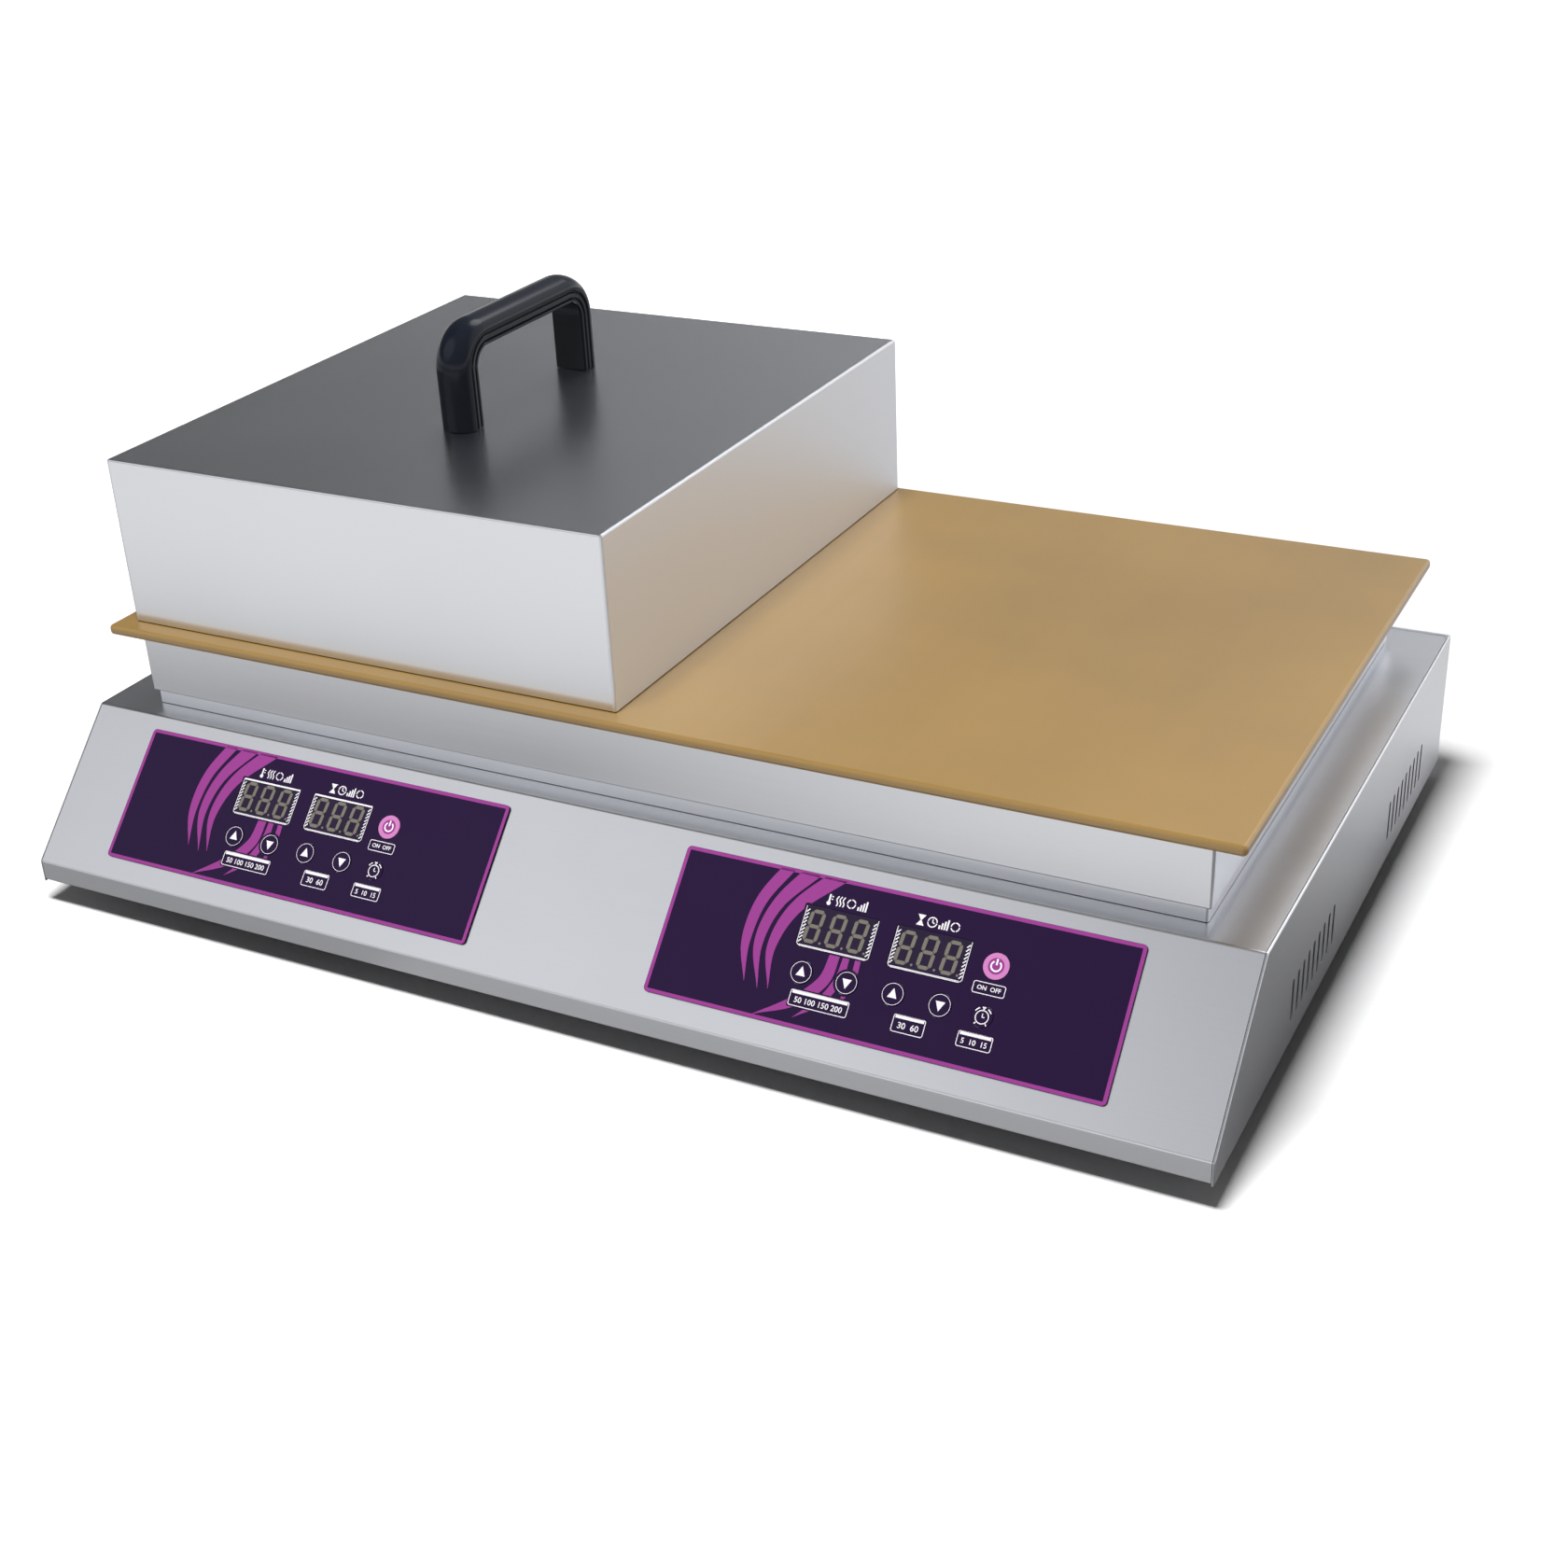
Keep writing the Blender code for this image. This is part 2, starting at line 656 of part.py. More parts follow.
def rear_screw_places():
    """Give the name, place across and height of each rear screw."""
    across = BODY_WIDTH / 2 - SHEET - REAR_FLANGE_WIDTH / 2
    low, high = RETURN_WIDTH, DECK_HEIGHT - DECK_LAP - RETURN_WIDTH
    places = {}
    for side, sign in SIDES.items():
        places["low_" + side] = (sign * across, low)
        places["high_" + side] = (sign * across, high)
    return places


def key_places():
    """Give each key's name, place about its panel's centre and radius."""
    first = DISPLAY_MIDDLE_X - DISPLAY_PITCH / 2
    second = DISPLAY_MIDDLE_X + DISPLAY_PITCH / 2
    half = KEY_PITCH / 2
    return {
        "heat_up": (first - half, KEY_ROW_UP, KEY_RADIUS),
        "heat_down": (first + half, KEY_ROW_UP, KEY_RADIUS),
        "time_up": (second - half, KEY_ROW_UP, KEY_RADIUS),
        "time_down": (second + half, KEY_ROW_UP, KEY_RADIUS),
        "power": (SIDE_KEY_X, POWER_KEY_UP, POWER_KEY_RADIUS),
        "timer": (SIDE_KEY_X, TIMER_KEY_UP, TIMER_KEY_RADIUS),
    }


def display_places():
    """Give each display's name and centre about its panel's centre."""
    half = DISPLAY_PITCH / 2
    return {
        "heat": (DISPLAY_MIDDLE_X - half, DISPLAY_UP),
        "time": (DISPLAY_MIDDLE_X + half, DISPLAY_UP),
    }


def make_main_cover():
    """Fold the lip, slope and deck from one sheet and cut its openings."""
    path = [
        (RETURN_WIDTH, 0.0),
        (0.0, 0.0),
        (0.0, LIP_HEIGHT),
        (SLOPE_RUN, DECK_HEIGHT),
        (BACK_INSIDE, DECK_HEIGHT),
        (BACK_INSIDE, DECK_HEIGHT - DECK_LAP),
    ]
    width = BODY_WIDTH - 2 * (SHEET + SEAT_GAP)
    mesh = flat(bent_sheet(path, SHEET, BEND_RADIUS), [], width, ACROSS)
    cover = add_part("main_cover", mesh, SATIN_STEEL)
    hole_x = BOX_HALF_WIDTH - DECK_HOLE_MARGIN
    low = (-hole_x, BOX_FRONT + DECK_HOLE_MARGIN, DECK_HEIGHT - SHEET - CUT_OVERRUN)
    high = (hole_x, BOX_BACK - DECK_HOLE_MARGIN, DECK_HEIGHT + CUT_OVERRUN)
    cut(cover, blocks([(low, high)]))
    for panel_x in PANELS.values():
        cut_panel_openings(cover, panel_x)


def cut_panel_openings(cover, panel_x):
    """Cut the display windows and key stem holes behind one panel."""
    deep = SHEET + 2 * CUT_OVERRUN
    windows = []
    for x, up in display_places().values():
        centre = (panel_x + x, PANEL_CENTRE_UP + up, -SHEET / 2)
        size = (DISPLAY_WIDTH + 2 * SEAT_GAP, DISPLAY_HEIGHT + 2 * SEAT_GAP, deep)
        windows.append(block_at(centre, size))
    cut(cover, blocks(windows), SLOPE)
    holes = []
    for x, up, _ in key_places().values():
        holes.append((panel_x + x, PANEL_CENTRE_UP + up, -SHEET - CUT_OVERRUN))
    cut(cover, rods(holes, KEY_STEM_RADIUS + SEAT_GAP, deep), SLOPE)


def make_side_panel(side, sign):
    """Make a side sheet with its air slots and inward flanges."""
    corners = [(0.0, LIP_HEIGHT), (SLOPE_RUN, DECK_HEIGHT)]
    bends = rounded([(0.0, 0.0), *corners, (BODY_DEPTH, DECK_HEIGHT)], BEND_RADIUS, closed=False)
    outline = bends + [(BODY_DEPTH, 0.0)]
    centre_x = sign * (BODY_WIDTH - SHEET) / 2
    placing = Matrix.Translation((centre_x, 0.0, 0.0)) @ ACROSS
    panel = add_part("side_panel_" + side, flat(outline, [], SHEET, placing), SATIN_STEEL)
    reach = RETURN_WIDTH + SHEET / 2
    middle_x = sign * (BODY_WIDTH / 2 - SHEET / 2 - reach / 2)
    front = RETURN_WIDTH + SEAT_GAP
    back = BACK_INSIDE - 2 * SHEET
    centre = (middle_x, (front + back) / 2, (FLANGE_INSET + SHEET) / 2)
    join_on(panel, blocks([block_at(centre, (reach, back - front, SHEET - FLANGE_INSET))]))
    reach = REAR_FLANGE_WIDTH + SHEET / 2
    middle_x = sign * (BODY_WIDTH / 2 - SHEET / 2 - reach / 2)
    low, high = SHEET, DECK_HEIGHT - DECK_LAP - SHEET
    strip = rectangle(middle_x, (low + high) / 2, reach, high - low)
    holes = [circle(x, z, M4_RADIUS + SCREW_HOLE_PLAY) for x, z in rear_screw_places().values()
             if x * sign > 0.0]
    flange_placing = Matrix.Translation((0.0, BACK_INSIDE - SHEET / 2, 0.0)) @ FACING_BACK
    join_on(panel, flat(strip, holes, SHEET, flange_placing))
    for middle in (SIDE_VENT_FROM_FRONT, BODY_DEPTH - SIDE_VENT_FROM_BACK):
        cut_slots(panel, slot_row(middle, SIDE_VENT_BASE, SIDE_VENT_WIDTH, SLOT_COUNT), placing)


def make_rear_panel():
    """Make the rear sheet with its air slots, gland hole and screw holes."""
    width = BODY_WIDTH - 2 * (SHEET + SEAT_GAP)
    outline = rectangle(0.0, DECK_HEIGHT / 2, width, DECK_HEIGHT)
    holes = [circle(GLAND_X, GLAND_UP, GLAND_THREAD_RADIUS + SEAT_GAP, ROUND_STEPS)]
    for x, height in rear_screw_places().values():
        holes.append(circle(x, height, M4_RADIUS + SCREW_HOLE_PLAY))
    placing = Matrix.Translation((0.0, BODY_DEPTH - SHEET / 2, 0.0)) @ FACING_BACK
    panel = add_part("rear_panel", flat(outline, holes, SHEET, placing), SATIN_STEEL)
    slots = slot_row(-REAR_VENT_OFFSET, REAR_VENT_BASE, REAR_VENT_WIDTH, REAR_SLOT_COUNT)
    cut_slots(panel, slots, placing)


def make_floor():
    """Make the bottom sheet, which lies on the inward flanges."""
    width = BODY_WIDTH - 2 * (SHEET + SEAT_GAP)
    front = BEND_RADIUS + SEAT_GAP
    back = BACK_INSIDE - SHEET - SEAT_GAP
    outline = rectangle(0.0, (front + back) / 2, width, back - front)
    holes = [circle(x, y, FOOT_STEM_RADIUS + SEAT_GAP) for x, y in foot_places().values()]
    earth = (GLAND_X - EARTH_FROM_GLAND, BODY_DEPTH - TERMINAL_FROM_BACK)
    holes.append(circle(*earth, M5_RADIUS + SCREW_HOLE_PLAY))
    placing = Matrix.Translation((0.0, 0.0, FLOOR_TOP - SHEET / 2))
    floor = add_part("bottom_plate", flat(outline, holes, SHEET, placing), SATIN_STEEL)
    base = BODY_DEPTH - FLOOR_VENT_FROM_BACK
    for sign in SIDES.values():
        middle = sign * (BODY_WIDTH / 2 - FLOOR_VENT_FROM_SIDE)
        cut_slots(floor, slot_row(middle, base, FLOOR_VENT_WIDTH, FLOOR_SLOT_COUNT), placing)


def make_rear_screws():
    """Place the four screws of the rear sheet."""
    screw = pan_screw(M4_RADIUS, M4_LENGTH, M4_HEAD_RADIUS, M4_HEAD_HEIGHT)
    outwards = Matrix.Rotation(-math.pi / 2, 4, "X")
    for name, (x, height) in rear_screw_places().items():
        place = Matrix.Translation((x, BODY_DEPTH + SEAT_GAP, height)) @ outwards
        add_part("rear_screw_" + name, moved(screw, place), BRIGHT_STEEL)


def make_feet():
    """Turn the rubber feet, each pushed through the bottom sheet by its barbed stem."""
    top = SHEET
    bottom = -FOOT_HEIGHT
    barb = FLOOR_TOP + SEAT_GAP
    foot = turned([
        (0.0, barb + FOOT_BARB_HEIGHT),
        (FOOT_STEM_RADIUS, barb + FOOT_BARB_HEIGHT),
        (FOOT_BARB_RADIUS, barb),
        (FOOT_STEM_RADIUS, barb),
        (FOOT_STEM_RADIUS, top),
        (FOOT_RADIUS, top),
        (FOOT_RADIUS - FOOT_TAPER, bottom),
        (FOOT_DIMPLE_RADIUS, bottom),
        (FOOT_DIMPLE_RADIUS, bottom + FOOT_DIMPLE_DEPTH),
        (0.0, bottom + FOOT_DIMPLE_DEPTH),
    ])
    for place, (x, y) in foot_places().items():
        add_part("foot_" + place, moved(foot, Matrix.Translation((x, y, 0.0))), BLACK_RUBBER)


def make_riser():
    """Make the low frame that lifts the heater box off the deck."""
    half = BOX_HALF_WIDTH - RISER_INSET
    depth = BOX_BACK - BOX_FRONT - 2 * RISER_INSET
    outline = rectangle(0.0, BOX_MIDDLE_Y, 2 * half, depth)
    hole = rectangle(0.0, BOX_MIDDLE_Y, 2 * (half - RISER_WALL), depth - 2 * RISER_WALL)
    placing = Matrix.Translation((0.0, 0.0, RISER_BASE + RISER_HEIGHT / 2))
    add_part("riser_frame", flat(outline, [hole], RISER_HEIGHT, placing), SATIN_STEEL)


def make_heater_box():
    """Make the skirt below the plate, flanged at both ends, with captive nuts on top."""
    low = Vector((-BOX_HALF_WIDTH, BOX_FRONT, BOX_BASE))
    high = Vector((BOX_HALF_WIDTH, BOX_BACK, BOX_TOP))
    wall = Vector((SHEET, SHEET, SHEET))
    box = add_part("heater_box", blocks([(low, high)]), SATIN_STEEL)
    cut(box, blocks([(low + wall, high - wall)]))
    inset = Vector((BOX_BOTTOM_FLANGE, BOX_BOTTOM_FLANGE, -CUT_OVERRUN))
    shelf = Vector((BOX_BOTTOM_FLANGE, BOX_BOTTOM_FLANGE, BOX_HEIGHT / 2))
    cut(box, blocks([(low + inset, high - shelf)]))
    inset = Vector((BOX_TOP_FLANGE, BOX_TOP_FLANGE, -CUT_OVERRUN))
    shelf = Vector((BOX_TOP_FLANGE, BOX_TOP_FLANGE, BOX_HEIGHT / 2))
    cut(box, blocks([(low + shelf, high - inset)]))
    nut_base = BOX_TOP - SHEET - NUT_HEIGHT
    places = [(x, y, nut_base) for x, y in flange_stud_places()]
    join_on(box, nut_prisms(places))
    places = [(x, y, nut_base - CUT_OVERRUN) for x, y in flange_stud_places()]
    through = NUT_HEIGHT + SHEET + 2 * CUT_OVERRUN
    cut(box, rods(places, M5_RADIUS + SCREW_HOLE_PLAY, through))


def flange_stud_places():
    """Give the places of the studs that hold the plate to the box's top flange."""
    inset = SHEET + (BOX_TOP_FLANGE - SHEET) / 2
    rows = (BOX_FRONT + inset, BOX_BACK - inset)
    across = (-ZONE_X, 0.0, ZONE_X)
    return [(x, y) for y in rows for x in across]


def clamp_depths():
    """Give the depths of the clamp bars' centre lines."""
    return (BOX_MIDDLE_Y - CLAMP_SPREAD / 2, BOX_MIDDLE_Y + CLAMP_SPREAD / 2)


def clamp_stud_places(zones):
    """Give the places of the clamps' studs, each between two heater runs."""
    offsets = (-TUBE_RUN_PITCH, TUBE_RUN_PITCH)
    return [(zone + dx, y) for zone in zones for dx in offsets for y in clamp_depths()]


def make_plate():
    """Make the griddle plate with softly rounded edges and studs welded below."""
    low = (-PLATE_WIDTH / 2, PLATE_FRONT, PLATE_BASE)
    high = (PLATE_WIDTH / 2, PLATE_FRONT + PLATE_DEPTH, PLATE_TOP)
    plate = add_part("griddle_plate", blocks([(low, high)]), GOLD_PLATE)
    bevel = plate.modifiers.new("edge", "BEVEL")
    bevel.width = PLATE_EDGE_ROUND
    bevel.segments = ARC_STEPS
    bevel.limit_method = "ANGLE"
    root = PLATE_BASE + PLATE_THICKNESS / 2
    clamps = [(x, y, CLAMP_STUD_END) for x, y in clamp_stud_places(ZONES.values())]
    join_on(plate, rods(clamps, M5_RADIUS, root - CLAMP_STUD_END))
    flanges = [(x, y, FLANGE_STUD_END) for x, y in flange_stud_places()]
    join_on(plate, rods(flanges, M5_RADIUS, root - FLANGE_STUD_END))


def make_clamp(zone, zone_x):
    """Make one zone's clamp: two bars and a web, with captive nuts on the studs."""
    bars = []
    for y in clamp_depths():
        centre = (zone_x, y, CLAMP_BASE + CLAMP_THICKNESS / 2)
        bars.append(block_at(centre, (CLAMP_LENGTH, CLAMP_WIDTH, CLAMP_THICKNESS)))
    clamp = add_part("heater_clamp_" + zone, blocks(bars[:1]), BRIGHT_STEEL)
    join_on(clamp, blocks(bars[1:]))
    for way in SIDES.values():
        centre = (zone_x + way * (CLAMP_LENGTH - CLAMP_WEB) / 2, BOX_MIDDLE_Y,
                  CLAMP_BASE + CLAMP_THICKNESS / 2)
        join_on(clamp, blocks([block_at(centre, (CLAMP_WEB, CLAMP_SPREAD, CLAMP_THICKNESS))]))
    nuts = [(x, y, CLAMP_BASE - NUT_HEIGHT) for x, y in clamp_stud_places([zone_x])]
    join_on(clamp, nut_prisms(nuts))
    low = CLAMP_BASE - NUT_HEIGHT - CUT_OVERRUN
    holes = [(x, y, low) for x, y in clamp_stud_places([zone_x])]
    cut(clamp, rods(holes, M5_RADIUS + SCREW_HOLE_PLAY, CLAMP_TOP - low + CUT_OVERRUN))


def heater_leg_places(zone_x):
    """Give the places of the two legs of one heater."""
    reach = TUBE_RUN_PITCH * (TUBE_RUN_COUNT - 1) / 2
    back = BOX_MIDDLE_Y + TUBE_FIELD_DEPTH / 2 - TUBE_RUN_PITCH / 2 + TUBE_LEG_BEND
    return [(zone_x - reach, back), (zone_x + reach, back)]


def heater_path(zone_x):
    """Route a heater to and fro in four runs, with both ends turned down at the back."""
    bend = TUBE_RUN_PITCH / 2
    front = BOX_MIDDLE_Y - TUBE_FIELD_DEPTH / 2 + bend
    back = BOX_MIDDLE_Y + TUBE_FIELD_DEPTH / 2 - bend
    first = zone_x - TUBE_RUN_PITCH * (TUBE_RUN_COUNT - 1) / 2
    middle = []
    for run in range(TUBE_RUN_COUNT - 1):
        centre_x = first + TUBE_RUN_PITCH * (run + 0.5)
        end, way = (front, -1) if run % 2 == 0 else (back, 1)
        for angle in spread(math.pi, 0.0, TUBE_BEND_STEPS + 1):
            middle.append((centre_x + bend * math.cos(angle),
                           end + way * bend * math.sin(angle), TUBE_Z))
    leg_x = [x for x, _ in heater_leg_places(zone_x)]
    return leg_down(leg_x[0], back)[::-1] + middle + leg_down(leg_x[1], back)


def leg_down(x, back):
    """Turn a heater's end from a run along Y down into its terminal."""
    centre_z = TUBE_Z - TUBE_LEG_BEND
    points = []
    for angle in spread(math.pi / 2, 0.0, ARC_STEPS + 1):
        points.append((x, back + TUBE_LEG_BEND * math.cos(angle),
                       centre_z + TUBE_LEG_BEND * math.sin(angle)))
    y = back + TUBE_LEG_BEND
    foot = SHIELD_BASE - TUBE_BELOW_SHIELD
    heights = (foot, foot - TERMINAL_SHOULDER, foot - TERMINAL_LENGTH)
    return points + [(x, y, height) for height in heights]


def make_heaters():
    """Sweep the two tubular heaters, each ending in thin terminals."""
    thin = TERMINAL_RADIUS / TUBE_RADIUS
    for zone, zone_x in ZONES.items():
        path = heater_path(zone_x)
        radii = [thin, thin] + [1.0] * (len(path) - 4) + [thin, thin]
        mesh = tube(path, TUBE_RADIUS, radii=radii)
        add_part("heating_element_" + zone, mesh, DARK_STEEL)


def pass_holes():
    """Give the holes in the insulation and shield for heater legs and probes."""
    holes = []
    for zone_x in ZONES.values():
        for x, y in heater_leg_places(zone_x):
            holes.append(circle(x, y, TUBE_RADIUS + PASS_HOLE_PLAY))
        y = BOX_MIDDLE_Y + PROBE_RUN
        holes.append(circle(zone_x, y, PROBE_RADIUS + PASS_HOLE_PLAY))
    return holes


def make_insulation():
    """Make the heat shield on the box's bottom flange and the board on it."""
    width = 2 * (BOX_HALF_WIDTH - SHEET - SHIELD_MARGIN)
    depth = BOX_BACK - BOX_FRONT - 2 * (SHEET + SHIELD_MARGIN)
    outline = rectangle(0.0, BOX_MIDDLE_Y, width, depth)
    placing = Matrix.Translation((0.0, 0.0, SHIELD_BASE + SHIELD_THICKNESS / 2))
    shield = flat(outline, pass_holes(), SHIELD_THICKNESS, placing)
    add_part("heat_shield", shield, BRIGHT_STEEL)
    placing = Matrix.Translation((0.0, 0.0, INSULATION_BASE + INSULATION_THICKNESS / 2))
    board = flat(outline, pass_holes(), INSULATION_THICKNESS, placing)
    add_part("insulation_board", board, CREAM_CERAMIC)


def probe_path(zone_x):
    """Route a probe along the plate and down through the insulation."""
    height = UNDER_PLATE - PROBE_BLOCK_HEIGHT / 2
    end = BOX_MIDDLE_Y + PROBE_RUN
    points = [(zone_x, BOX_MIDDLE_Y - PROBE_BLOCK_LENGTH, height)]
    for angle in spread(math.pi / 2, 0.0, ARC_STEPS + 1):
        points.append((zone_x, end - PROBE_BEND + PROBE_BEND * math.cos(angle),
                       height - PROBE_BEND + PROBE_BEND * math.sin(angle)))
    points.append((zone_x, end, SHIELD_BASE - PROBE_BELOW_SHIELD))
    return points


def make_probes():
    """Make the two temperature probes and the blocks that hold them."""
    height = UNDER_PLATE - PROBE_BLOCK_HEIGHT / 2
    outline = rectangle(0.0, 0.0, PROBE_BLOCK_WIDTH, PROBE_BLOCK_HEIGHT)
    bore = circle(0.0, 0.0, PROBE_RADIUS + SEAT_GAP)
    block = flat(outline, [bore], PROBE_BLOCK_LENGTH, FACING_BACK)
    for zone, zone_x in ZONES.items():
        place = Matrix.Translation((zone_x, BOX_MIDDLE_Y, height))
        add_part("probe_block_" + zone, moved(block, place), BARE_ALUMINIUM)
        add_part("temperature_probe_" + zone, tube(probe_path(zone_x), PROBE_RADIUS), BRIGHT_STEEL)


def make_cutouts():
    """Make the over-temperature cut-outs that sit against the plate."""
    body = turned([
        (0.0, 0.0),
        (CUTOUT_FLANGE_RADIUS, 0.0),
        (CUTOUT_FLANGE_RADIUS, -CUTOUT_FLANGE),
        (CUTOUT_RADIUS, -CUTOUT_FLANGE),
        (CUTOUT_RADIUS, -CUTOUT_HEIGHT),
        (0.0, -CUTOUT_HEIGHT),
    ])
    for zone, zone_x in ZONES.items():
        place = Vector((zone_x + TUBE_RUN_PITCH, BOX_MIDDLE_Y, UNDER_PLATE))
        mesh = moved(body, Matrix.Translation(place))
        cutout = add_part("limit_cutout_" + zone, mesh, BRIGHT_STEEL)
        tabs = []
        drop = CUTOUT_HEIGHT + CUTOUT_TAB_LENGTH / 2 - CUTOUT_FLANGE
        for way in SIDES.values():
            centre = place + Vector((way * CUTOUT_RADIUS / 2, 0.0, -drop))
            tabs.append(block_at(centre, (CUTOUT_TAB_THICKNESS, CUTOUT_TAB_WIDTH,
                                          CUTOUT_TAB_LENGTH)))
        join_on(cutout, blocks(tabs))


def make_overlay(side, panel_x):
    """Make the thin control overlay with its display and key openings."""
    outline = rounded(rectangle(0.0, 0.0, PANEL_WIDTH, PANEL_HEIGHT), PANEL_CORNER)
    holes = []
    for x, up in display_places().values():
        holes.append(rectangle(x, up, DISPLAY_WIDTH + 2 * SEAT_GAP, DISPLAY_HEIGHT + 2 * SEAT_GAP))
    for x, up, radius in key_places().values():
        holes.append(circle(x, up, radius + SEAT_GAP, ROUND_STEPS))
    place = (panel_x, PANEL_CENTRE_UP, SEAT_GAP + PANEL_THICKNESS / 2)
    mesh = flat(outline, holes, PANEL_THICKNESS, Matrix.Translation(place))
    add_part("control_overlay_" + side, mesh, PANEL_PURPLE, SLOPE)


def make_keys(side, panel_x):
    """Turn the keys, each with a slightly crowned cap and a stem to its switch."""
    top = KEY_THICKNESS
    stem_end = KEY_STEM_END - KEY_BASE
    flat_share = 0.7
    for name, (x, up, radius) in key_places().items():
        mesh = turned([
            (0.0, top + KEY_CROWN),
            (radius * flat_share, top + KEY_CROWN),
            (radius, top),
            (radius, 0.0),
            (KEY_STEM_RADIUS, 0.0),
            (KEY_STEM_RADIUS, stem_end),
            (0.0, stem_end),
        ])
        place = (panel_x + x, PANEL_CENTRE_UP + up, KEY_BASE)
        add_part(name + "_key_" + side, mesh, KEY_PURPLE, SLOPE, place)


def make_displays(side, panel_x):
    """Make the two display modules that stand on one control board."""
    low, high = BOARD_TOP + SEAT_GAP, PANEL_TOP - DISPLAY_SUNK
    for name, (x, up) in display_places().items():
        centre = (panel_x + x, PANEL_CENTRE_UP + up, (low + high) / 2)
        mesh = blocks([block_at(centre, (DISPLAY_WIDTH, DISPLAY_HEIGHT, high - low))])
        add_part(name + "_display_" + side, mesh, DISPLAY_BLACK, SLOPE)


def make_board(side, panel_x):
    """Make one control board with its soldered key switches and pressed-in spacers."""
    middle = BOARD_TOP - BOARD_THICKNESS / 2
    centre = (panel_x, PANEL_CENTRE_UP, middle)
    mesh = blocks([block_at(centre, (BOARD_WIDTH, BOARD_HEIGHT, BOARD_THICKNESS))])
    board = add_part("control_board_" + side, mesh, BOARD_GREEN, SLOPE)
    high = SWITCH_TOP - SWITCH_BUTTON_HEIGHT
    bodies, buttons = [], []
    for x, up, _ in key_places().values():
        place = (panel_x + x, PANEL_CENTRE_UP + up, (middle + high) / 2)
        bodies.append(block_at(place, (SWITCH_SIZE, SWITCH_SIZE, high - middle)))
        buttons.append((panel_x + x, PANEL_CENTRE_UP + up, middle))
    join_on(board, blocks(bodies), SLOPE)
    join_on(board, rods(buttons, SWITCH_BUTTON_RADIUS, SWITCH_TOP - middle), SLOPE)
    half_x = BOARD_WIDTH / 2 - STANDOFF_MARGIN
    half_up = BOARD_HEIGHT / 2 - STANDOFF_MARGIN
    ways = list(SIDES.values())
    spacers = [(panel_x + sx * half_x, PANEL_CENTRE_UP + sy * half_up, middle)
               for sx in ways for sy in ways]
    join_on(board, rods(spacers, STANDOFF_RADIUS, -SHEET - SEAT_GAP - middle), SLOPE)


def make_heat_sink():
    """Make the finned sink that stands on the floor under the relays."""
    pitch = (SINK_WIDTH - SINK_FIN_THICKNESS) / (SINK_FIN_COUNT - 1)
    base = FLOOR_TOP + SEAT_GAP
    shelf = base + SINK_FIN_HEIGHT
    top = shelf + SINK_BASE
    outline = [(SINK_WIDTH / 2, top), (-SINK_WIDTH / 2, top)]
    for fin in range(SINK_FIN_COUNT):
        left = -SINK_WIDTH / 2 + pitch * fin
        right = left + SINK_FIN_THICKNESS
        edge = [(left, shelf), (left, base), (right, base), (right, shelf)]
        if fin == 0:
            edge = edge[1:]
        if fin == SINK_FIN_COUNT - 1:
            edge = edge[:-1]
        outline += edge
    placing = Matrix.Translation((0.0, POWER_PARTS_Y, 0.0)) @ FACING_BACK
    add_part("relay_heat_sink", flat(outline, [], SINK_DEPTH, placing), BARE_ALUMINIUM)
    return top


def make_relays(sink_top):
    """Make the two solid-state relays, stepped down at their terminals."""
    base = sink_top + SEAT_GAP
    half, step = RELAY_LENGTH / 2, RELAY_LENGTH / 2 - RELAY_STEP_LENGTH
    outline = [
        (-half, base),
        (half, base),
        (half, base + RELAY_STEP_HEIGHT),
        (step, base + RELAY_STEP_HEIGHT),
        (step, base + RELAY_HEIGHT),
        (-step, base + RELAY_HEIGHT),
        (-step, base + RELAY_STEP_HEIGHT),
        (-half, base + RELAY_STEP_HEIGHT),
    ]
    for zone, sign in SIDES.items():
        place = (sign * RELAY_OFFSET, POWER_PARTS_Y, 0.0)
        placing = Matrix.Translation(place) @ ACROSS
        mesh = flat(outline, [], RELAY_WIDTH, placing)
        add_part("relay_" + zone, mesh, GREY_PLASTIC)


def make_supply():
    """Make the low-voltage supply board with its transformer, capacitors and spacers."""
    y = POWER_PARTS_Y
    foot = FLOOR_TOP + SEAT_GAP
    middle = foot + BOARD_STANDOFF + BOARD_THICKNESS / 2
    size = (SUPPLY_WIDTH, SUPPLY_DEPTH, BOARD_THICKNESS)
    mesh = blocks([block_at((SUPPLY_X, y, middle), size)])
    board = add_part("supply_board", mesh, BOARD_GREEN)
    corner = (SUPPLY_X - TRANSFORMER_WIDTH, y - TRANSFORMER_DEPTH / 2, middle)
    far = (SUPPLY_X, y + TRANSFORMER_DEPTH / 2, middle + TRANSFORMER_HEIGHT)
    join_on(board, blocks([(corner, far)]))
    beside = SUPPLY_X + 2 * CAPACITOR_RADIUS
    ways = list(SIDES.values())
    cans = [(beside, y + way * 2 * CAPACITOR_RADIUS, middle) for way in ways]
    join_on(board, rods(cans, CAPACITOR_RADIUS, CAPACITOR_HEIGHT))
    half_x = SUPPLY_WIDTH / 2 - STANDOFF_MARGIN
    half_y = SUPPLY_DEPTH / 2 - STANDOFF_MARGIN
    spacers = [(SUPPLY_X + sx * half_x, y + sy * half_y, foot) for sx in ways for sy in ways]
    join_on(board, rods(spacers, STANDOFF_RADIUS, middle - foot))


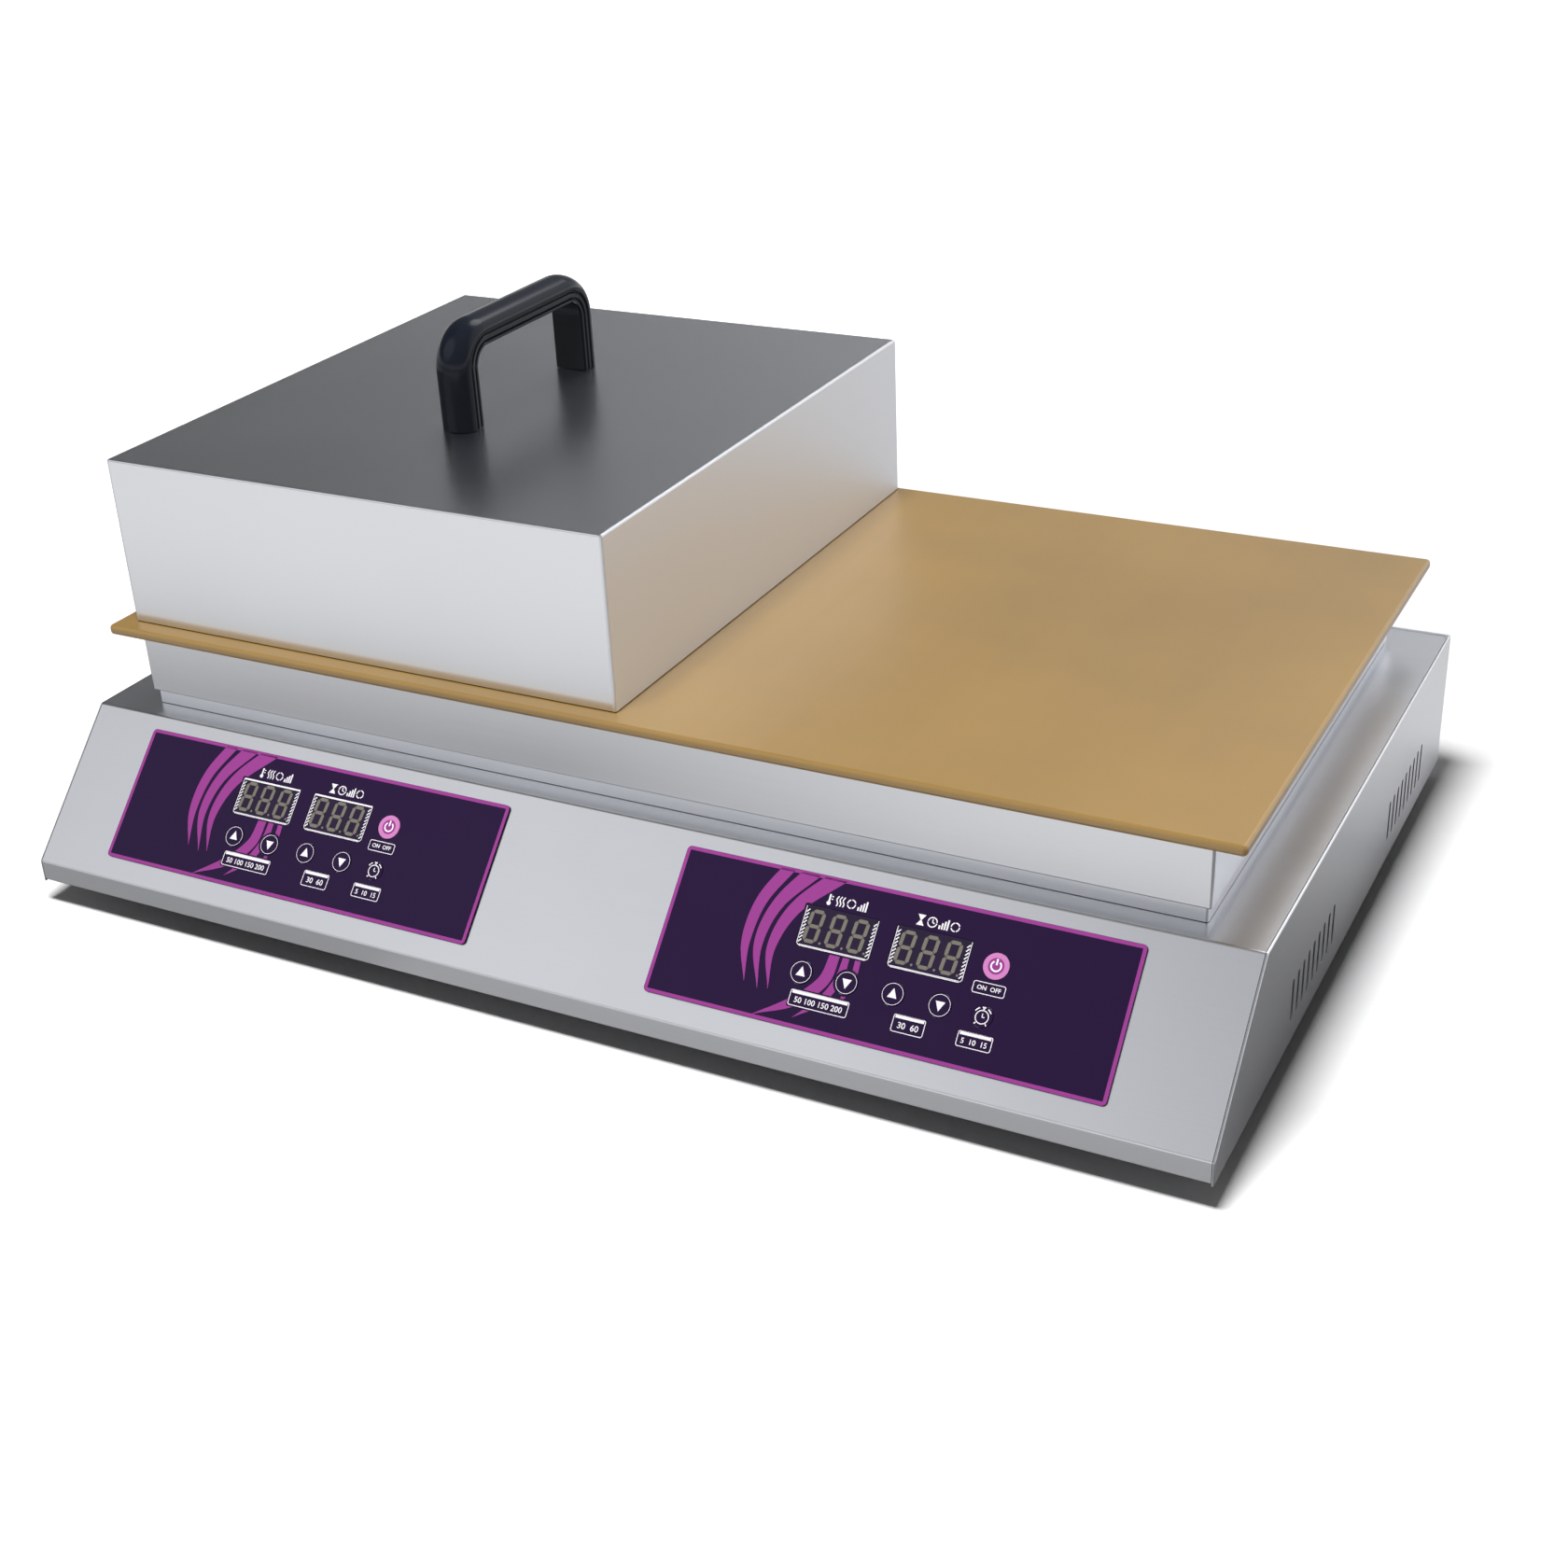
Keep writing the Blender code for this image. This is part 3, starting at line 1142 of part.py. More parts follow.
def make_terminal_block():
    """Make the ribbed terminal block that takes the supply cores."""
    width = TERMINAL_BLOCK_WAYS * TERMINAL_WAY_PITCH + TERMINAL_RIB
    base = FLOOR_TOP + SEAT_GAP
    outline = [(width / 2, base), (-width / 2, base)]
    for way in range(TERMINAL_BLOCK_WAYS + 1):
        left = -width / 2 + way * TERMINAL_WAY_PITCH
        right = left + TERMINAL_RIB
        low, high = base + TERMINAL_BASE_HEIGHT, base + TERMINAL_RIB_HEIGHT
        edge = [(left, low), (left, high), (right, high), (right, low)]
        if way == 0:
            edge = edge[1:]
        if way == TERMINAL_BLOCK_WAYS:
            edge = edge[:-1]
        outline += edge
    place = (GLAND_X, BODY_DEPTH - TERMINAL_FROM_BACK, 0.0)
    placing = Matrix.Translation(place) @ FACING_BACK
    add_part("terminal_block", flat(outline, [], TERMINAL_BLOCK_DEPTH, placing), CREAM_CERAMIC)


def make_earth_stud():
    """Place the earth stud with its head below the floor and its nut above."""
    x, y = GLAND_X - EARTH_FROM_GLAND, BODY_DEPTH - TERMINAL_FROM_BACK
    screw = pan_screw(M5_RADIUS, EARTH_STUD_LENGTH, M5_HEAD_RADIUS, M5_HEAD_HEIGHT)
    seat = FLOOR_TOP - SHEET - SEAT_GAP
    mesh = moved(screw, Matrix.Translation((x, y, seat)) @ UPSIDE_DOWN)
    stud = add_part("earth_stud", mesh, BRASS)
    join_on(stud, nut_prisms([(x, y, FLOOR_TOP + SEAT_GAP)]))


def make_gland():
    """Turn the cable gland through the rear sheet, with its lock nut inside."""
    inside = -SHEET - GLAND_THREAD_LENGTH
    gland = turned([
        (GLAND_BORE, GLAND_PROUD),
        (GLAND_NOSE_RADIUS, GLAND_PROUD),
        (GLAND_RADIUS, GLAND_FLANGE),
        (GLAND_RADIUS, SEAT_GAP),
        (GLAND_THREAD_RADIUS, SEAT_GAP),
        (GLAND_THREAD_RADIUS, inside),
        (GLAND_BORE, inside),
    ])
    outwards = Matrix.Rotation(-math.pi / 2, 4, "X")
    place = Matrix.Translation((GLAND_X, BODY_DEPTH, GLAND_UP)) @ outwards
    add_part("cable_gland", moved(gland, place), BLACK_PLASTIC)
    outline = circle(GLAND_X, GLAND_UP, GLAND_NUT_RADIUS, 6)
    bore = circle(GLAND_X, GLAND_UP, GLAND_THREAD_RADIUS + SEAT_GAP, ROUND_STEPS)
    middle = BODY_DEPTH - SHEET - SEAT_GAP - GLAND_NUT_HEIGHT / 2
    placing = Matrix.Translation((0.0, middle, 0.0)) @ FACING_BACK
    add_part("gland_nut", flat(outline, [bore], GLAND_NUT_HEIGHT, placing), BLACK_PLASTIC)


def handle_feet():
    """Give the depths of the handle's two feet."""
    return (LID_Y - HANDLE_SPAN / 2, LID_Y + HANDLE_SPAN / 2)


def make_lid_shell():
    """Fold the lid from thin sheet, open below, with holes for the handle's screws."""
    bm = bmesh.new()
    bmesh.ops.create_cube(bm, size=1.0)
    size = Vector((LID_HIGH_X - LID_LOW_X, LID_BACK - LID_FRONT, LID_HEIGHT))
    bmesh.ops.scale(bm, vec=size, verts=bm.verts)
    bmesh.ops.translate(bm, vec=(LID_X, LID_Y, LID_BASE + LID_HEIGHT / 2), verts=bm.verts)
    lowest = min(bm.faces, key=lambda face: face.calc_center_median().z)
    bmesh.ops.delete(bm, geom=[lowest], context="FACES_ONLY")
    mesh = bpy.data.meshes.new("lid_shell")
    bm.to_mesh(mesh)
    bm.free()
    lid = add_part("lid_shell", mesh, SATIN_STEEL)
    bevel = lid.modifiers.new("bend", "BEVEL")
    bevel.width = LID_BEND
    bevel.segments = ARC_STEPS
    bevel.limit_method = "ANGLE"
    wall = lid.modifiers.new("wall", "SOLIDIFY")
    wall.thickness = LID_SHEET
    wall.offset = -1.0
    wall.use_even_offset = True
    places = [(LID_X, y, LID_TOP - LID_SHEET - CUT_OVERRUN) for y in handle_feet()]
    cut(lid, rods(places, M5_RADIUS + SCREW_HOLE_PLAY, LID_SHEET + 2 * CUT_OVERRUN))


def handle_section():
    """Outline the grip's section: a round back and grooved flanks."""
    half_width, half_thick = HANDLE_WIDTH / 2, HANDLE_THICKNESS / 2
    shoulder = HANDLE_FLANK_SHARES[0][1] * half_thick
    rise = half_thick - shoulder
    back = []
    for angle in spread(0.0, math.pi, HANDLE_BACK_STEPS + 1):
        back.append((half_width * math.cos(angle), shoulder + rise * math.sin(angle)))
    left = [(-x * half_width, y * half_thick) for x, y in HANDLE_FLANK_SHARES[1:]]
    right = [(x * half_width, y * half_thick) for x, y in HANDLE_FLANK_SHARES[:0:-1]]
    return back + left + right


def make_handle():
    """Sweep the grip's section along its bow and bore it for two screws."""
    section = bpy.data.curves.new("section", "CURVE")
    section.dimensions = "2D"
    section.fill_mode = "NONE"
    add_loop(section, handle_section())
    guide = bpy.data.objects.new("handle_section", section)
    CUTTERS.objects.link(guide)
    front, back = handle_feet()
    base = LID_TOP + SEAT_GAP
    top = base + HANDLE_HEIGHT - HANDLE_THICKNESS / 2
    corners = [(front, base), (front, top), (back, top), (back, base)]
    path = rounded(corners, HANDLE_BEND, HANDLE_BEND_STEPS, closed=False)
    curve = bpy.data.curves.new("handle", "CURVE")
    curve.dimensions = "3D"
    curve.bevel_mode = "OBJECT"
    curve.bevel_object = guide
    curve.use_fill_caps = True
    spline = curve.splines.new("POLY")
    spline.points.add(len(path) - 1)
    for index, (y, z) in enumerate(path):
        spline.points[index].co = (LID_X, y, z, 1.0)
    bow = bpy.data.objects.new("bow", curve)
    PARTS.objects.link(bow)
    mesh = evaluated_mesh(bow)
    bpy.data.objects.remove(guide, do_unlink=True)
    handle = add_part("lid_handle", mesh, BLACK_PLASTIC)
    places = [(LID_X, y, base - CUT_OVERRUN) for y in handle_feet()]
    cut(handle, rods(places, M5_RADIUS + SCREW_HOLE_PLAY, HANDLE_BORE_DEPTH + CUT_OVERRUN))


def make_handle_screws():
    """Place the two screws that hold the handle from inside the lid."""
    screw = pan_screw(M5_RADIUS, HANDLE_SCREW_LENGTH, M5_HEAD_RADIUS, M5_HEAD_HEIGHT)
    seat = LID_TOP - LID_SHEET - SEAT_GAP
    for name, y in zip(("front", "rear"), handle_feet()):
        place = Matrix.Translation((LID_X, y, seat)) @ UPSIDE_DOWN
        add_part("handle_screw_" + name, moved(screw, place), BRIGHT_STEEL)


def make_housing():
    """Make the housing's sheets, feet and screws."""
    make_main_cover()
    for side, sign in SIDES.items():
        make_side_panel(side, sign)
    make_rear_panel()
    make_floor()
    make_rear_screws()
    make_feet()


def make_hot_deck():
    """Make the riser, heater box, plate and what hangs under the plate."""
    make_riser()
    make_heater_box()
    make_plate()
    make_heaters()
    for zone, zone_x in ZONES.items():
        make_clamp(zone, zone_x)
    make_insulation()
    make_probes()
    make_cutouts()


def make_controls():
    """Make both control panels and what stands behind them."""
    for side, panel_x in PANELS.items():
        make_overlay(side, panel_x)
        make_keys(side, panel_x)
        make_displays(side, panel_x)
        make_board(side, panel_x)


def make_power_parts():
    """Make the relays, supply, terminals and gland."""
    make_relays(make_heat_sink())
    make_supply()
    make_terminal_block()
    make_earth_stud()
    make_gland()


def make_lid():
    """Make the lift-off lid with its handle."""
    make_lid_shell()
    make_handle()
    make_handle_screws()


make_housing()
make_hot_deck()
make_controls()
make_power_parts()
make_lid()
bpy.context.view_layer.update()
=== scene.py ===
"""Looks for a countertop souffle pancake maker.

The packed model is the frame. Sheet metal, griddle plate, lid, handle, key panels and
small hardware are modelled round it in the same place and size, and the parts inside
the housing keep their own solids with better finishes. X runs along the front, Y from
the front lip to the back, and Z up from the worktop.
"""

import math

import bmesh
import bpy
from bpy.props import FloatProperty, FloatVectorProperty, IntProperty, PointerProperty
from mathutils import Matrix, Vector


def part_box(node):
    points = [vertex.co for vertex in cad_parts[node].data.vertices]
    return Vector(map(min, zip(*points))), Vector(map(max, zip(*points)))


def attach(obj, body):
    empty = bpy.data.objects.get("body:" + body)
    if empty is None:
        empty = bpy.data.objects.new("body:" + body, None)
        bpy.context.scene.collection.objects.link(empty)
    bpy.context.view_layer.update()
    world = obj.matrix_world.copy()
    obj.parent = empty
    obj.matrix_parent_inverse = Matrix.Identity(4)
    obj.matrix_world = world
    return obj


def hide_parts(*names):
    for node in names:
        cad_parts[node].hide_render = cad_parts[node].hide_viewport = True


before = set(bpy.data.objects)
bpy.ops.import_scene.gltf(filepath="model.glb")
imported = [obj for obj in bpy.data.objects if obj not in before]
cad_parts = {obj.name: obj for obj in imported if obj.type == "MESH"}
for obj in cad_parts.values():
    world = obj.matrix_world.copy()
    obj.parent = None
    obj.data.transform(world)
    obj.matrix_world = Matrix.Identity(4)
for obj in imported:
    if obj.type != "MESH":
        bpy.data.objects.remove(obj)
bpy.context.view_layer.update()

bl_info = {
    "name": "Souffle pancake maker",
    "version": (1, 0, 0),
    "blender": (4, 5, 0),
    "location": "3D View > Sidebar > Pancake maker",
    "description": "Builds and dresses a two-zone griddle with a lift-off lid",
    "category": "Object",
}

MM = 0.001
WELD = 1e-6
TOUCH = 10 * WELD
BASE = "base"
LID = "lid"
SIDES = {"left": -1, "right": 1}


def node_middle(node):
    """Give the middle of a packed node's box."""
    low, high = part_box(node)
    return (low + high) / 2


def nodes_of(*stems):
    """Name the left and the right packed node of some stems."""
    return [f"{stem}_{side}" for stem in stems for side in SIDES]


# Places taken from the packed model
COVER_LOW, COVER_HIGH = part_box("main_cover")
SIDE_LOW, SIDE_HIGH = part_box("side_panel_right")
FLOOR_LOW, FLOOR_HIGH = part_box("bottom_plate")
BOX_LOW, BOX_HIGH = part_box("heater_box")
SHELL_LOW, SHELL_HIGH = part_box("lid_shell")
GRIP_LOW, GRIP_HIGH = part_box("lid_handle")
FEET = nodes_of("foot_front", "foot_rear")
SHEET = FLOOR_HIGH.z - FLOOR_LOW.z
HALF_WIDTH = SIDE_HIGH.x
FRONT_Y = SIDE_LOW.y
BACK_Y = SIDE_HIGH.y
HOUSING_Z = SIDE_LOW.z
DECK_Z = SIDE_HIGH.z

# Sheet metal
LIP_HEIGHT = 13.2 * MM
SLOPE_RUN = 69.5 * MM
BEND = 2.6 * MM
RETURN_WIDTH = 16 * MM
DECK_LAP = 12 * MM
DECK_HOLE_MARGIN = 26 * MM
FIT = 0.3 * MM
EDGE_ROUND = 0.9 * MM
BEND_STEPS = 8
CORNER_STEPS = 8
LEAST_CORNER = 0.15 * MM
LEAST_FOLD = math.radians(35)
SHARP_ANGLE = math.radians(32)
OVERRUN = 2 * MM
SLOPE_ANGLE = math.atan2(DECK_Z - HOUSING_Z - LIP_HEIGHT, SLOPE_RUN)
SLOPE = (Matrix.Translation((0.0, FRONT_Y, HOUSING_Z + LIP_HEIGHT))
         @ Matrix.Rotation(SLOPE_ANGLE, 4, "X"))
SKIRT_CORNER = 1.6 * MM
TOP_FLANGE = 14 * MM
BOTTOM_FLANGE = 22 * MM
RISER_WALL = 1.5 * MM
GLAND_HOLE, FOOT_HOLE, EARTH_HOLE = 8.3 * MM, 4.3 * MM, 2.8 * MM
FLANGE_LIFT = 0.2 * MM
FLOOR_SCREW_FRONT, FLOOR_SCREW_BACK = 30 * MM, 12 * MM
CLAMP_STUD_REACH, CLAMP_STUD_INSET = 70 * MM, 8 * MM
STUD_RADIUS, STUD_BEVEL = 2.5 * MM, 0.4 * MM
GRIP_HALF_THICK = 8 * MM
GRIP_FOOT_ROUND = 0.4 * MM

# Rows of air slots: the middle of each row and how wide it is
SIDE_ROWS = (FRONT_Y + 161 * MM, BACK_Y - 95.4 * MM)
SIDE_ROW_UP, SIDE_ROW_WIDTH = 14 * MM, 80 * MM
REAR_ROW_X, REAR_ROW_UP, REAR_ROW_WIDTH = -120 * MM, 36 * MM, 180 * MM
FLOOR_ROW_IN, FLOOR_ROW_Y, FLOOR_ROW_WIDTH = 180 * MM, BACK_Y - 113 * MM, 90 * MM

# Turns a flat shape drawn as (depth, height) into a YZ plane
TO_DEPTH = Matrix(((0, 0, 1, 0), (1, 0, 0, 0), (0, 1, 0, 0), (0, 0, 0, 1)))
# Turns a flat shape drawn as (width, height) into an XZ plane
TO_BACK = Matrix(((1, 0, 0, 0), (0, 0, -1, 0), (0, 1, 0, 0), (0, 0, 0, 1)))

# Screws in millimetres: radius, head radius, head height and length
SCREWS = {
    "rear": (2.0, 4.0, 2.6, 6.0),
    "floor": (1.75, 3.5, 2.2, 4.0),
    "handle": (2.5, 4.8, 3.0, 16.0),
}


def on_slope(node):
    """Give the middle of a packed node across and up the slope."""
    return (SLOPE.inverted() @ node_middle(node)).xy


# Key panels, measured from each panel's middle on the slope
PANEL_X = {side: node_middle("control_overlay_" + side).x for side in SIDES}
PANEL_UP = on_slope("control_overlay_left").y
PANEL_SIZE = Vector((245.5, 78.2)) * MM
PANEL_CORNER = 2.5 * MM
PANEL_LIFT = 0.3 * MM
PANEL_THICKNESS = 0.8 * MM
PANEL_TOP = PANEL_LIFT + PANEL_THICKNESS
FILM_EDGE = 0.12 * MM
BORDER_INSET = 0.15 * MM
WINDOW_SIZE = Vector((40.0, 21.5)) * MM
WINDOW_SINK = 0.2 * MM
WINDOW_CORNER = 0.6 * MM
WINDOWS = {kind: on_slope(kind + "_display_left") - Vector((PANEL_X["left"], PANEL_UP))
           for kind in ("heat", "time")}
KEY_BASE = 0.6 * MM
KEY_HEIGHT = 0.8 * MM
KEY_SOFT = 0.15 * MM
KEY_SOFT_SHARE = 0.3
STEM_RADIUS = 2.0 * MM
STEM_LENGTH = 4.6 * MM
# Keys: how far up the panel, and radius
KEYS = {
    **dict.fromkeys(("heat_up", "heat_down", "time_up", "time_down"), (-11.3 * MM, 6.0 * MM)),
    "power": (13.3 * MM, 6.6 * MM),
    "timer": (-11.8 * MM, 5.4 * MM),
}
INK = 0.05 * MM
INK_SINK = INK / 5

# The camera, solved from the photograph's straight edges
CAMERA_PLACE = Vector((0.56103, -1.01957, 0.64601))
CAMERA_YAW = 0.491657657
CAMERA_PITCH = 0.484858852
CAMERA_ROLL = -0.0462137607
PHOTO_PIXELS = 1680
FOCAL_PIXELS = 2371.37
SENSOR = 36.0

# Studio
LAMP_PLACE = Vector((0.0, -0.6, 2.2))
LAMP_TARGET = Vector((0.0, 0.0, 0.1))
LAMP_SIZE = (0.7, 0.4)
FLOOR_HALF, FLOOR_CORNER = 9.0, 1.0
FLOOR_BOTTOM, FLOOR_TOP = -0.02, -0.0002
CLIP_NEAR, CLIP_FAR = 0.01, 50.0
# Floor: where its look in reflections changes, how deep the shade painted on it near the object
# is there, and how far off it glows white
STRIP_EDGE, STRIP_FADE = (FRONT_Y - 0.09, FRONT_Y - 0.05), (-0.05, 0.30)
AHEAD_EDGE, AHEAD_FADE = (FRONT_Y - 0.22, FRONT_Y - 0.12), (-0.40, 0.20)
RIGHT_EDGE, RIGHT_FADE = (0.34, 0.36), (-0.05, 0.35)
WHITE_FAR = (0.32, 1.4)
OPEN_SHADE, AHEAD_SHADE, RIGHT_SHADE, RIGHT_FADED_SHADE = 0.24, 0.70, 0.82, 0.3
MIRRORED_GLOW = 0.35
# World: where its light changes with direction, by how much, and its colour
SKY_RISE, HORIZON, DARK_SIDE, DARK_RISE = (0.2, 0.7), (0.03, 0.20), (-0.75, -0.15), 0.28
BACK_PANEL, SEEN_COLOUR = 4.0, (0.97, 0.98, 1.0, 1.0)
WHITE = (1.0, 1.0, 1.0, 1.0)
BLACK = (0.0, 0.0, 0.0, 1.0)


# Property groups


def colour_setting(name, description, default):
    """Make a colour setting."""
    return FloatVectorProperty(name=name, description=description, subtype="COLOR", size=3,
                               default=default, min=0.0, max=1.0)


def share_setting(name, description, default, most=1.0):
    """Make a setting for a share, or for a level of light."""
    return FloatProperty(name=name, description=description, subtype="FACTOR",
                         default=default, min=0.0, max=most)


def length_setting(name, description, default, least, most=1.0):
    """Make a setting for a length in metres."""
    return FloatProperty(name=name, description=description, subtype="DISTANCE",
                         unit="LENGTH", default=default, min=least, max=most)


def count_setting(name, description, default, most=40):
    """Make a setting for a number of copies."""
    return IntProperty(name=name, description=description, subtype="UNSIGNED",
                       default=default, min=2, max=most)


class SteelProperties(bpy.types.PropertyGroup):
    """Finish of the stainless sheets."""

    colour: colour_setting("Steel colour", "Colour of the bare sheet", (0.70, 0.71, 0.74))
    roughness: share_setting("Roughness", "How far the satin finish blurs", 0.30)
    brush: share_setting("Brush depth", "Strength of the fine brush marks", 0.012)


class VentProperties(bpy.types.PropertyGroup):
    """Rows of air slots."""

    slot_width: length_setting("Slot width", "Width of one air slot", 0.0036, 0.001)
    slot_height: length_setting("Slot height", "Length of one air slot", 0.024, 0.004)
    side_count: count_setting("Side slots", "Slots in each side row", 9)
    rear_count: count_setting("Rear slots", "Slots in the rear row", 18, 60)
    floor_count: count_setting("Floor slots", "Slots in each floor row", 8)


class PlateProperties(bpy.types.PropertyGroup):
    """Coated griddle plate."""

    colour: colour_setting("Coat colour", "Colour of the plate's coat", (0.31, 0.185, 0.048))
    edge: length_setting("Edge radius", "Rounding of the plate's edges", 0.0022, 0.0002, 0.0029)
    roughness: share_setting("Roughness", "How far the coat blurs", 0.42)


class LidProperties(bpy.types.PropertyGroup):
    """Lid shell and bow handle."""

    sheet: length_setting("Sheet", "Thickness of the lid's sheet", 0.0012, 0.0005)
    bend: length_setting("Bend radius", "Radius of the lid's folded edges", 0.0014, 0.0013)
    grip_bend: length_setting("Handle bend", "Bend of the handle's middle line", 0.019, 0.010)
    grip_colour: colour_setting("Handle colour", "Colour of the handle", (0.006, 0.008, 0.014))


class PanelProperties(bpy.types.PropertyGroup):
    """Printed key panels."""

    film: colour_setting("Film colour", "Ground colour of the key panel",
                         (0.013, 0.0035, 0.029))
    stripe: colour_setting("Stripe colour", "Colour of border and stripes",
                           (0.26, 0.042, 0.225))
    border: length_setting("Border width", "Width of the printed border", 0.0019, 0.0002)


class StudioProperties(bpy.types.PropertyGroup):
    """Floor, lamp and world."""

    floor: colour_setting("Floor colour", "Colour of the studio floor", (0.90, 0.90, 0.90))
    # How light the floor stays under the shade painted on it near the object, seen in
    # reflections
    shaded_floor_level: share_setting("Near floor", "Level of the near floor in reflections", 0.36)
    sky: share_setting("Sky strength", "Strength of the light from above", 0.08, 3.0)
    dark: share_setting("Dark wall", "Level of the dark parts in reflections", 0.10, 2.0)
    front_panel: share_setting("Front panel", "Level of the front soft panel", 0.82, 3.0)
    side_panel: share_setting("Side panel", "Level of the rear right panel", 0.78, 3.0)
    lamp: FloatProperty(name="Lamp power", description="Power of the soft lamp overhead",
                        subtype="POWER", unit="POWER", default=68.0, min=0.0)


# Mesh making


def linked(name, data):
    """Make an object from its data and link it to the scene."""
    obj = bpy.data.objects.new(name, data)
    bpy.context.scene.collection.objects.link(obj)
    return obj


def baked(obj):
    """Take the plain mesh that an object's modifiers or curve make, then drop the object."""
    graph = bpy.context.evaluated_depsgraph_get()
    mesh = bpy.data.meshes.new_from_object(obj.evaluated_get(graph), depsgraph=graph)
    bpy.data.objects.remove(obj, do_unlink=True)
    return mesh


def bmesh_of(*meshes):
    """Start a bmesh with some meshes in it."""
    bm = bmesh.new()
    for mesh in meshes:
        bm.from_mesh(mesh)
    return bm


def mesh_of(bm, weld=False, outwards=True):
    """Turn a bmesh into a mesh, welded and with its faces outwards where asked."""
    if weld:
        bmesh.ops.remove_doubles(bm, verts=bm.verts, dist=WELD)
    if outwards:
        bmesh.ops.recalc_face_normals(bm, faces=bm.faces)
    mesh = bpy.data.meshes.new("shape")
    bm.to_mesh(mesh)
    bm.free()
    return mesh


def merged(*meshes):
    """Put several closed meshes into one."""
    return mesh_of(bmesh_of(*meshes), outwards=False)


def moved(mesh, placing):
    """Give a copy of a mesh in another place."""
    copy = mesh.copy()
    copy.transform(placing)
    return copy


def add_piece(name, mesh, look, replaces=(), body=BASE):
    """Add a finished piece that rides on a body and stands for some packed nodes."""
    mesh.shade_smooth()
    mesh.set_sharp_from_angle(angle=SHARP_ANGLE)
    obj = linked("shape", mesh)
    obj.modifiers.new("even", "WEIGHTED_NORMAL").keep_sharp = True
    mesh = baked(obj)
    mesh.name = name
    mesh.materials.clear()
    mesh.materials.append(finish(look))
    mesh.polygons.foreach_set("material_index", [0] * len(mesh.polygons))
    piece = linked(name, mesh)
    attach(piece, body)
    if replaces:
        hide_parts(*replaces)


def with_tool(mesh, tool, operation="DIFFERENCE"):
    """Cut a tool mesh from a mesh, or join it on."""
    obj, other = linked("shape", mesh), linked("tool", tool)
    change = obj.modifiers.new("change", "BOOLEAN")
    change.operation, change.solver, change.object = operation, "EXACT", other
    made = baked(obj)
    bpy.data.objects.remove(other, do_unlink=True)
    return made


def with_round_edges(mesh, chosen, width, segments=3):
    """Round the folded edges whose two end points pass a test."""
    bm = bmesh_of(mesh)
    bmesh.ops.remove_doubles(bm, verts=bm.verts, dist=WELD)
    edges = [e for e in bm.edges if len(e.link_faces) == 2
             and e.calc_face_angle() > LEAST_FOLD and all(chosen(v.co) for v in e.verts)]
    bmesh.ops.bevel(bm, geom=edges, offset=width, segments=segments, profile=0.5,
                    affect="EDGES", clamp_overlap=True)
    return mesh_of(bm, weld=True)


def blocks(*boxes):
    """Make one mesh of blocks, each given by its low and high corner."""
    bm = bmesh.new()
    for low, high in boxes:
        low, high = Vector(low), Vector(high)
        bmesh.ops.create_cube(bm, size=1.0, matrix=Matrix.Translation((low + high) / 2)
                              @ Matrix.Diagonal((*(high - low), 1.0)))
    return mesh_of(bm)


def rounded_rectangle(half, radius, middle=(0.0, 0.0), steps=CORNER_STEPS):
    """Outline a rectangle with round corners about its middle."""
    points = []
    for turn, (sx, sy) in enumerate(((1, 1), (-1, 1), (-1, -1), (1, -1))):
        corner = Vector((sx * (half[0] - radius), sy * (half[1] - radius)))
        for step in range(steps + 1):
            angle = (turn + step / steps) * math.pi / 2
            arm = radius * Vector((math.cos(angle), math.sin(angle)))
            points.append(corner + arm + Vector(middle))
    return points


def circle(centre, radius, steps=48):
    """Outline a circle."""
    turns = [2 * math.pi * step / steps for step in range(steps)]
    return [Vector(centre) + radius * Vector((math.cos(a), math.sin(a))) for a in turns]


def quarter(steps=CORNER_STEPS):
    """Give the sine and cosine at even steps through a quarter turn."""
    turns = [math.pi / 2 * step / steps for step in range(steps + 1)]
    return [(math.sin(turn), math.cos(turn)) for turn in turns]


def round_over(radius, top, inset=0.0, steps=CORNER_STEPS):
    """Give a profile's round edge from its flat top out to its side."""
    return [(inset + radius * (1 - s), top - radius * (1 - c)) for s, c in quarter(steps)]


def in_mm(points):
    """Give points in metres from points in millimetres."""
    return [(x * MM, y * MM) for x, y in points]


def corner_arcs(points, radius, steps=BEND_STEPS):
    """Round the corners of an open flat path with arcs of one radius."""
    points = [Vector(point) for point in points]
    result = points[:1]
    for previous, corner, following in zip(points, points[1:], points[2:]):
        before, after = (previous - corner).normalized(), (following - corner).normalized()
        half = before.angle(after) / 2
        centre = corner + (before + after).normalized() * radius / math.sin(half)
        start = corner + before * radius / math.tan(half) - centre
        end = corner + after * radius / math.tan(half) - centre
        sweep = -start.angle_signed(end)
        for step in range(steps + 1):
            arm = start.copy()
            arm.rotate(Matrix.Rotation(sweep * step / steps, 2))
            result.append(centre + arm)
    return result + points[-1:]


def beside(path, distance):
    """Shift an open flat path to its right, with mitred corners."""
    path = [Vector(point) for point in path]
    sides = [(end - start).normalized() for start, end in zip(path, path[1:])]
    normals = [Vector((along.y, -along.x)) for along in sides]
    shifted = [path[0] + normals[0] * distance]
    for point, one, other in zip(path[1:], normals, normals[1:]):
        middle = one + other
        shifted.append(point + middle * distance * 2 / middle.length_squared)
    return shifted + [path[-1] + normals[-1] * distance]


def stroke(width, *path):
    """Outline a line of even width along a flat path."""
    return beside(path, width / 2) + beside(path, -width / 2)[::-1]


def arc(radius, start, end, steps=20):
    """Give points along an arc about the origin, with its angles in degrees."""
    turns = [math.radians(start + (end - start) * step / steps) for step in range(steps + 1)]
    return [(radius * math.cos(turn), radius * math.sin(turn)) for turn in turns]


